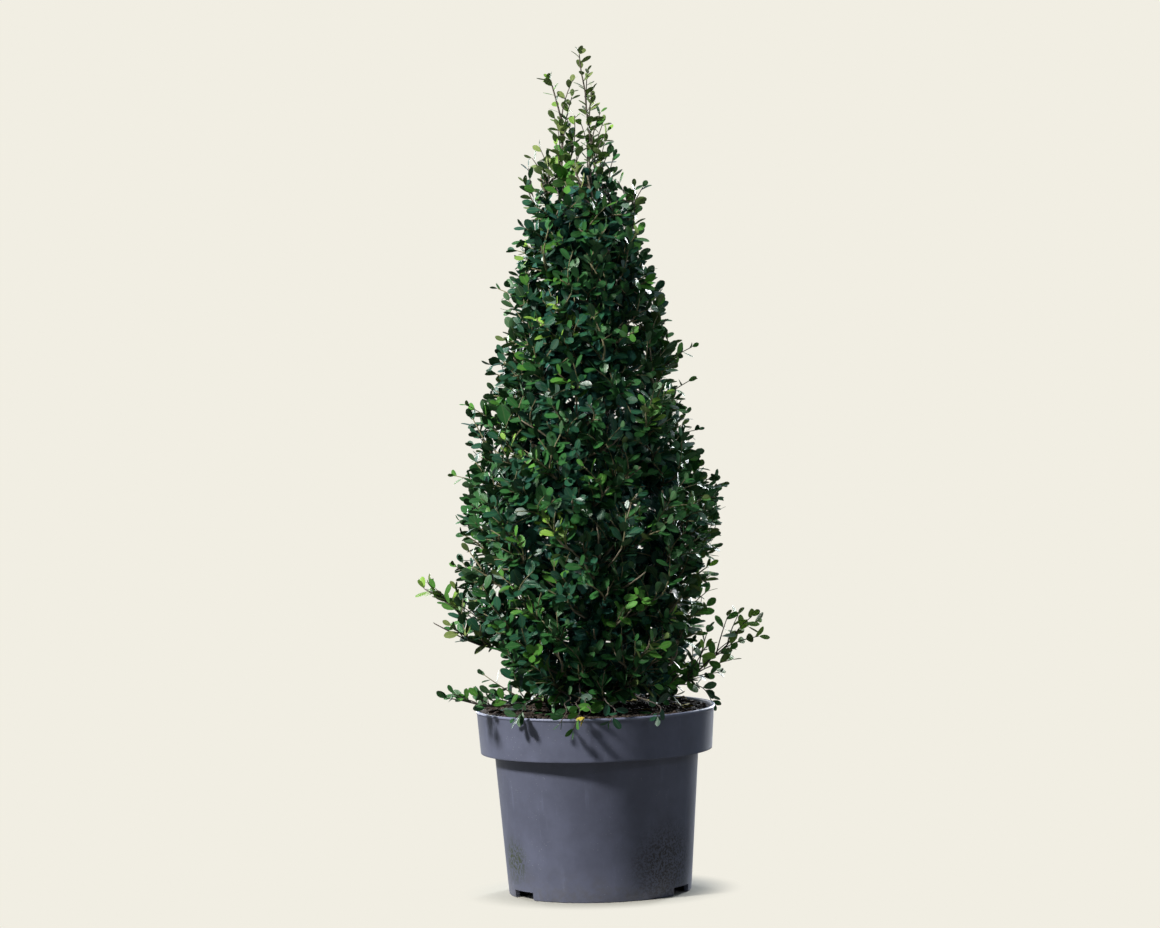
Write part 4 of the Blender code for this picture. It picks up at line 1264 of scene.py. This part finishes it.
def pot_finish():
    """Grey satin plastic with scuffs, lime specks, a green film low on the left, dirt low on the right and a
    painted highlight on the lip.
    """
    made, colour, rim = Finish("grey_pot_plastic"), colours().pot, sizes().pot_height
    where = made.where
    height = made.add("SeparateXYZ", {0: where}).outputs[2]
    cloud = made.noise(where, 26.0, 4.0, 0.6)
    scuffs = made.noise(where, 85.0, 5.0, 0.65, stretch=(1.0, 1.0, 0.16))
    base = made.mix(made.step(cloud, 0.30, 0.72), rgba(colour, 0.88), rgba(colour, 1.10))
    base = made.mix(made.step(scuffs, 0.56, 0.80, end=0.35), base, rgba(colour, 1.9))
    # A lighter band round the top of the lip: a painted highlight.
    base = made.mix(made.step(height, rim - 0.0042, rim - 0.0030, end=0.50), base, rgba(colour, 2.0))
    for centre, reach, grain, tint, amount in POT_PATCHES:
        apart = made.add("VectorMath", {0: where, 1: centre}, operation="DISTANCE").outputs["Value"]
        near = made.step(apart, reach * 0.2, reach, amount, 0.0)
        grains = made.step(made.noise(where, grain, 4.0, 0.7), 0.44, 0.58)
        base = made.mix(made.times(near, grains), base, rgba(tint))
    low = made.step(height, 0.0, 0.050, 1.0, 0.0)
    dusty = made.times(low, made.step(made.noise(where, 60.0, 5.0, 0.7), 0.42, 0.66))
    base = made.mix(made.times(dusty, 0.40), base, rgba((0.115, 0.108, 0.100)))
    base = made.speckled(base, 260.0, 0.10, (0.42, 0.42, 0.44))
    rough = made.maths("MULTIPLY_ADD", dusty, 0.2, made.maths("MULTIPLY_ADD", scuffs, 0.30, 0.30))
    relief = made.maths("MULTIPLY_ADD", cloud, 2.0, made.noise(where, 900.0))
    return made.done(base, rough, relief, 0.12, 0.0004)


# ---- Soil ----

SOIL_RINGS = 26
# Between the soil and the pot's wall, then the soil's depth, its middle height and its highest point.
SOIL_GAP, SOIL_DEPTH, SOIL_MIDDLE, SOIL_HIGHEST = 0.0012, 0.026, 0.1945, 0.2170
# Half the length, width and thickness of a bark crumb, from least to most.
CRUMB_SPANS = ((0.0016, 0.0052), (0.0011, 0.0026), (0.0005, 0.0013))


def soil_height(x, y):
    """The soil's surface: nearly level, a little higher at the stem, heaped at the left of the rim."""
    radius = math.hypot(x, y)
    level_part = 0.2112 + 0.0016 * max(0.0, 1.0 - radius / 0.11)
    heap = 0.0056 * math.exp(-(((x + 0.104) / 0.034) ** 2) - ((y + 0.030) / 0.060) ** 2)
    ring = 0.6 + noise.noise(Vector((x, y, 0.7)) * 22.0)
    heap += 0.0030 * math.exp(-(((radius - 0.118) / 0.020) ** 2)) * ring
    coarse, fine = noise.noise(Vector((x, y, 0.0)) * 55.0), noise.noise(Vector((x, y, 0.3)) * 160.0)
    return min(level_part + heap + (0.0026 * coarse + 0.0012 * fine), SOIL_HIGHEST)


class HOLLY_OT_soil(bpy.types.Operator):
    """Fill the pot with potting soil, and lay bark crumbs on it"""

    bl_idname = "holly.soil"
    bl_label = "Soil"

    def execute(self, context):
        given = sizes()
        reach = given.rim_radius - LIP_STANDS_OUT - given.wall - SOIL_GAP
        deselect_all()
        size = {"vertices": 96, "radius": reach, "depth": SOIL_DEPTH}
        bpy.ops.mesh.primitive_cylinder_add(**size, location=(0.0, 0.0, SOIL_MIDDLE))
        soil = context.object
        with editing():
            bpy.ops.mesh.select_mode(type="FACE")
            bpy.ops.mesh.select_all(action="DESELECT")
        for face in soil.data.polygons:
            face.select = face.normal.z > 0.5
        with editing():
            for _ in range(SOIL_RINGS):
                bpy.ops.mesh.inset(thickness=reach / (SOIL_RINGS + 1.5), depth=0.0)
        settle(soil, "potting_soil_surface")
        for vertex in soil.data.vertices:
            if vertex.co.z > 0.2:
                vertex.co.z = soil_height(vertex.co.x, vertex.co.y)
        smooth_by_angle(soil, 60)
        dress(soil, soil_finish())
        crumbs = self.make_crumbs(given, reach)
        for piece in (soil, crumbs):
            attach(piece, "root")
        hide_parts("potting_soil")
        return {"FINISHED"}

    def make_crumbs(self, given, reach):
        """Flat bark crumbs, strewn over the soil."""
        rng = random.Random(given.seed + 5)
        box = [(x, y, z) for z in (-1, 1) for x, y in ((-1, -1), (1, -1), (1, 1), (-1, 1))]
        sides = np.array([(3, 2, 1, 0), (4, 5, 6, 7), (0, 1, 5, 4), (1, 2, 6, 5), (2, 3, 7, 6), (3, 0, 4, 7)])
        points, faces, slots = [], [], []
        for _ in range(given.crumbs):
            radius = reach * math.sqrt(rng.uniform(0.01, 0.93))
            angle = rng.uniform(0.0, math.tau)
            x, y = radius * math.cos(angle), radius * math.sin(angle)
            size = Vector([rng.uniform(*span) for span in CRUMB_SPANS])
            turn = Matrix.Rotation(rng.uniform(0.0, math.tau), 3, "Z")
            turn = turn @ Matrix.Rotation(rng.gauss(0.0, 0.45), 3, "X")
            turn = turn @ Matrix.Rotation(rng.gauss(0.0, 0.30), 3, "Y")
            place = Vector((x, y, soil_height(x, y) + rng.uniform(0.0, 0.0016)))
            faces.append(sides + len(points))
            slots.append(np.full(6, 0 if rng.random() < 0.62 else 1))
            for corner in box:
                jitter = [rng.uniform(0.65, 1.1) for _ in range(3)]
                points.append(place + turn @ Vector([c * s * j for c, s, j in zip(corner, size, jitter)]))
        finishes = [
            bark_finish("dark_bark_crumb", (0.034, 0.021, 0.014), (0.012, 0.008, 0.006), 300.0, 0.0006),
            bark_finish("brown_bark_crumb", (0.088, 0.060, 0.042), (0.034, 0.024, 0.018), 300.0, 0.0006),
        ]
        faces, slots = [np.concatenate(faces)], [np.concatenate(slots)]
        return mesh_object("bark_crumbs", points, faces, finishes, slots, smooth=False)


def soil_finish():
    """Damp dark soil with paler fibres."""
    made, colour = Finish("damp_soil"), colours().soil
    clods = made.noise(made.where, 130.0, 6.0, 0.65)
    fibres = made.noise(made.where, 420.0, 3.0, 0.6, stretch=(1.0, 0.25, 1.0))
    base = made.mix(made.step(clods, 0.35, 0.68), rgba(colour, 0.5), rgba(colour, 1.7))
    base = made.mix(made.step(fibres, 0.60, 0.75, end=0.5), base, rgba((0.12, 0.08, 0.05)))
    rough = made.maths("MULTIPLY_ADD", clods, 0.2, 0.75)
    return made.done(base, rough, made.maths("MULTIPLY_ADD", fibres, 0.3, clods), 0.9, 0.0016)


# ---- Stem and boughs ----


class HOLLY_OT_limbs(bpy.types.Operator):
    """Make the main stem, its two leaders and the boughs, with the bark's relief"""

    bl_idname = "holly.limbs"
    bl_label = "Stem and boughs"

    def execute(self, context):
        finish = bark_finish("holly_bark", colours().bark, (0.045, 0.032, 0.022), 170.0, 0.0012)
        stems, boughs = limb_routes(), bough_routes(masses_of_the_plant())
        stem = self.make_limb_piece("stem_and_leaders", stems, 6, 0.0032, 0.0010, finish)
        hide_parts(*stems)
        bough = self.make_limb_piece("boughs", boughs, 4, 0.0040, 0.0006, finish)
        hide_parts(*boughs)
        return {"FINISHED"}

    def make_limb_piece(self, name, routes, roundness, step, relief, finish):
        limbs = []
        texture = bpy.data.textures.new(name + "_relief", "CLOUDS")
        texture.noise_scale = 0.0045
        texture.noise_depth = 3
        relief = {"texture": texture, "strength": relief, "mid_level": 0.5, "texture_coords": "GLOBAL"}
        for route, radii in routes.values():
            limb = self.swept_limb(route, radii, roundness, step)
            apply_modifier(limb, "DISPLACE", "bark relief", **relief)
            limbs.append(limb)
        piece = settle(join(limbs), name)
        smooth_by_angle(piece, 70)
        dress(piece, finish)
        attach(piece, "root")
        return piece

    def swept_limb(self, route, radii, roundness, step):
        """A limb swept along its route: a curve with a thickness, made a mesh."""
        fine = smooth_route(route, 8)
        count = max(4, round(route_length(route) / step))
        deselect_all()
        bpy.ops.curve.primitive_nurbs_path_add()
        curve = bpy.context.object
        data = curve.data
        data.splines.clear()
        spline = data.splines.new("POLY")
        spline.points.add(count)
        for index, point in enumerate(spline.points):
            share = index / count
            place = share * (len(radii) - 1)
            low = min(int(place), len(radii) - 2)
            point.co = (*along(fine, share), 1.0)
            point.radius = radii[low] + (radii[low + 1] - radii[low]) * (place - low)
        data.bevel_depth = 1.0
        data.bevel_resolution = roundness
        data.use_fill_caps = True
        activate(curve)
        bpy.ops.object.convert(target="MESH")
        with editing():
            merge_and_face_outwards()
        return bpy.context.object


# ---- Foliage ----

STOREYS = ("low", "lower", "middle", "upper", "top")
MOST_TRIANGLES = 200000
FALLEN_LEAVES = 34


class HOLLY_OT_foliage(bpy.types.Operator):
    """Grow the twigs, shoots and leaves of every mass"""

    bl_idname = "holly.foliage"
    bl_label = "Twigs and leaves"

    def execute(self, context):
        given = sizes()
        masses = masses_of_the_plant()
        growth = Growth(masses, given.leaf_length, given.seed)
        growth.grow({**limb_routes(), **bough_routes(masses)})
        growth.leaves += fallen_leaves(given)
        blades, barks = self.leaf_finishes(), self.twig_finishes()
        for storey in STOREYS:
            nodes = [mass.name for mass in masses if mass.storey == storey]
            leaves = [leaf for leaf in growth.leaves if leaf.storey == storey and not leaf.inner]
            twigs = [twig for twig in growth.twigs if twig.storey == storey]
            self.hand_over(leaves_object(f"leaves_{storey}", leaves, LEAF_STATIONS, blades), "foliage", nodes)
            self.hand_over(twigs_object(f"twigs_{storey}", twigs, barks), "bark", nodes)
        leaves = [leaf for leaf in growth.leaves if leaf.inner]
        nodes = [mass.name for mass in masses if mass.clipped]
        self.hand_over(leaves_object("leaves_inside", leaves, INNER_LEAF_STATIONS, blades), "foliage", nodes)
        return {"FINISHED"}

    def leaf_finishes(self):
        """The leaves' finishes, in the order of their places."""
        paint, rib = colours(), (0.105, 0.165, 0.060)
        rows = (
            # Name, colour, rib, roughness, specular, coat and the rib's strength.
            ("leaf_deep", paint.leaf_deep, rib, 0.37, 0.40, 0.06, 0.35),
            ("leaf_green", paint.leaf_green, rib, 0.37, 0.40, 0.06, 0.40),
            ("leaf_fresh", paint.leaf_fresh, (0.19, 0.27, 0.09), 0.40, 0.26, 0.06, 0.50),
            ("leaf_lime", paint.leaf_lime, (0.30, 0.40, 0.13), 0.44, 0.26, 0.03, 0.50),
            ("leaf_yellow", paint.leaf_yellow, (0.45, 0.30, 0.08), 0.50, 0.26, 0.0, 0.50),
            ("leaf_underside", paint.leaf_under, (0.15, 0.20, 0.10), 0.55, 0.26, 0.0, 0.60),
            ("leaf_underside_young", paint.leaf_under_fresh, (0.24, 0.32, 0.14), 0.55, 0.26, 0.0, 0.60),
            # The inner leaves' finish: its blue-green is painted shade, for the dim cool light deep in the
            # cone.
            ("leaf_inner_painted_shade", paint.leaf_painted_shade, (0.030, 0.055, 0.045), 0.32, 0.40, 0.0, 0.30),
            ("leaf_olive", paint.leaf_olive, (0.33, 0.38, 0.16), 0.46, 0.26, 0.03, 0.50),
        )
        return [leaf_finish(*row) for row in rows]

    def twig_finishes(self):
        """The twigs' barks, in the order of their places."""
        return [
            bark_finish("twig_bark", (0.205, 0.175, 0.118), (0.085, 0.070, 0.048), 260.0, 0.0004),
            bark_finish("young_shoot_bark", colours().shoot, (0.100, 0.095, 0.040), 300.0, 0.0003),
            bark_finish("leader_bark", (0.110, 0.088, 0.074), (0.040, 0.032, 0.028), 260.0, 0.0003),
        ]

    def hand_over(self, piece, slot, nodes):
        triangles = sum(len(face.vertices) - 2 for face in piece.data.polygons)
        print(f"{piece.name}: {triangles} triangles")
        if triangles >= MOST_TRIANGLES:
            raise RuntimeError(f"{piece.name} has {triangles} triangles")
        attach(piece, "root")
        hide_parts(*nodes)


def fallen_leaves(given):
    """A few yellow and green leaves that lie on the soil."""
    rng = random.Random(given.seed + 9)
    made = []
    for index in range(FALLEN_LEAVES):
        radius, angle = 0.122 * math.sqrt(rng.uniform(0.15, 1.0)), rng.uniform(0.0, math.tau)
        x, y = radius * math.cos(angle), radius * math.sin(angle)
        turn = rng.uniform(0.0, math.tau)
        direction = Vector((math.cos(turn), math.sin(turn), rng.uniform(-0.05, 0.12)))
        face = UP + Vector((rng.uniform(-0.3, 0.3), rng.uniform(-0.3, 0.3), 0.0))
        root = Vector((x, y, soil_height(x, y) + 0.0030))
        length = given.leaf_length * rng.uniform(0.7, 1.0)
        shape = (root, direction, face, length, 1.0, rng.uniform(-0.05, 0.06), 0.05)
        made.append(Leaf(*shape, YELLOW if index % 2 else GREEN, rng.random(), "low"))
    return made


# ---- Stage ----


class HOLLY_OT_stage(bpy.types.Operator):
    """Set up the pale floor, the studio lights and the camera"""

    bl_idname = "holly.stage"
    bl_label = "Stage"

    def execute(self, context):
        self.make_floor()
        self.make_sky(context)
        self.make_lights()
        self.make_camera(context)
        context.scene.view_settings.view_transform = "Standard"
        return {"FINISHED"}

    def make_floor(self):
        """A pale floor that fades into the backdrop's own colour away from the pot."""
        deselect_all()
        place = (0.0, 0.0, -0.0004)
        bpy.ops.mesh.primitive_circle_add(vertices=128, radius=4.0, fill_type="NGON", location=place)
        floor = settle(bpy.context.object, "studio_floor")
        made, backdrop = Finish("studio_floor"), colours().backdrop
        matt = {"Base Color": rgba(backdrop, 0.56), "Roughness": 1.0, "Specular IOR Level": 0.0}
        lit = made.wire(made.shader, matt).outputs[0]
        glow = made.add("Emission", {"Color": rgba(backdrop)}).outputs[0]
        dim = made.add("BsdfDiffuse", {"Color": rgba(backdrop, 0.14)}).outputs[0]
        seen = made.add("LightPath").outputs["Is Camera Ray"]
        away = made.add("MixShader", {0: seen, 1: dim, 2: glow}).outputs[0]
        apart = made.add("VectorMath", {0: made.where}, operation="LENGTH").outputs["Value"]
        both = made.add("MixShader", {0: made.step(apart, 0.106, 0.170), 1: lit, 2: away}).outputs[0]
        made.wire(made.tree.nodes["Material Output"], {0: both})
        dress(floor, made.material)

    def make_sky(self, context):
        """The backdrop's colour to the camera, and a dimmer light from all round for the plant."""
        world = bpy.data.worlds.new("studio")
        world.use_nodes = True
        context.scene.world = world
        made = Nodes(world.node_tree)
        seen = made.wire(made.tree.nodes["Background"], {"Color": rgba(colours().backdrop), "Strength": 1.0})
        back = made.add("SeparateXYZ", {0: made.add("TexCoord").outputs["Generated"]}).outputs[1]
        strength = made.maths("MULTIPLY_ADD", made.step(back, 0.15, 0.75), 0.78, 0.132)
        fill = made.add("Background", {"Color": (0.68, 0.84, 1.0, 1.0), "Strength": strength})
        camera_ray = made.add("LightPath").outputs["Is Camera Ray"]
        both = made.add("MixShader", {0: camera_ray, 1: fill.outputs[0], 2: seen.outputs[0]})
        made.wire(made.tree.nodes["World Output"], {0: both.outputs[0]})

    def make_lights(self):
        """A firm key from the left, pale lights from behind on both sides, and a soft spot."""
        for name, azimuth, elevation, away, width, height, power, colour in (
            ("key", -59.0, 35.0, 3.0, 0.38, 0.38, 138.0, (1.0, 0.985, 0.94)),
            ("left_edge", -152.0, 10.0, 2.4, 0.4, 1.6, 32.0, (1.0, 1.0, 1.0)),
            ("right_edge", 152.0, 10.0, 2.4, 0.4, 1.6, 78.0, (0.94, 0.97, 1.0)),
        ):
            light = hang_light("AREA", name, (0.0, 0.0, 0.45), azimuth, elevation, away, power, colour)
            light.shape = "RECTANGLE"
            light.size, light.size_y = width, height
        # The spot opens the cone's shaded side and leaves the pot dark.
        spot = hang_light("SPOT", "crown_fill", (0.02, 0.0, 0.60), 48.0, 26.0, 3.0, 80.0, (0.90, 0.94, 1.0))
        spot.shadow_soft_size = 0.35
        spot.spot_size, spot.spot_blend = math.radians(14.6), 0.30

    def make_camera(self, context):
        deselect_all()
        bpy.ops.object.camera_add(location=(0.0, -6.0, 0.83))
        camera = context.object
        aim = Vector((-0.010, 0.0, 0.50)) - camera.location
        level_view = aim.to_track_quat("-Z", "Y").to_matrix()
        camera.rotation_euler = (level_view @ Matrix.Rotation(math.radians(-1.6), 3, "Z")).to_euler()
        camera.data.lens = 160.0
        camera.data.sensor_width = 36.0
        camera.data.clip_start, camera.data.clip_end = 0.1, 60.0
        context.scene.camera = camera


def hang_light(kind, name, aim, azimuth, elevation, away, power, colour):
    """A light that shines at a point from this azimuth, elevation and distance."""
    turn, rise = math.radians(azimuth), math.radians(elevation)
    towards = Vector((math.sin(turn) * math.cos(rise), -math.cos(turn) * math.cos(rise), math.sin(rise)))
    deselect_all()
    bpy.ops.object.light_add(type=kind, location=Vector(aim) + towards * away)
    light = bpy.context.object
    light.name = name
    light.rotation_euler = (-towards).to_track_quat("-Z", "Y").to_euler()
    light.data.energy, light.data.color = power, colour
    return light.data


# ---- Panel and registration ----


class HOLLY_PT_panel(bpy.types.Panel):
    """Potted holly cone"""

    bl_idname = "HOLLY_PT_panel"
    bl_label = "Potted holly cone"
    bl_space_type = "VIEW_3D"
    bl_region_type = "UI"
    bl_category = "Holly"

    def draw(self, context):
        for operator in OPERATORS:
            self.layout.operator(operator.bl_idname)
        for values in (context.scene.holly_sizes, context.scene.holly_colours):
            box = self.layout.box()
            for name in values.__annotations__:
                box.prop(values, name)


OPERATORS = (HOLLY_OT_stage, HOLLY_OT_pot, HOLLY_OT_soil, HOLLY_OT_limbs, HOLLY_OT_foliage)
CLASSES = (HollySizes, HollyColours, *OPERATORS, HOLLY_PT_panel)


def register():
    for made in CLASSES:
        bpy.utils.register_class(made)
    bpy.types.Scene.holly_sizes = PointerProperty(type=HollySizes)
    bpy.types.Scene.holly_colours = PointerProperty(type=HollyColours)


def unregister():
    del bpy.types.Scene.holly_colours
    del bpy.types.Scene.holly_sizes
    for made in reversed(CLASSES):
        bpy.utils.unregister_class(made)


def main():
    register()
    for operator in OPERATORS:
        family, name = operator.bl_idname.split(".")
        getattr(getattr(bpy.ops, family), name)()


if __name__ == "__main__":
    main()
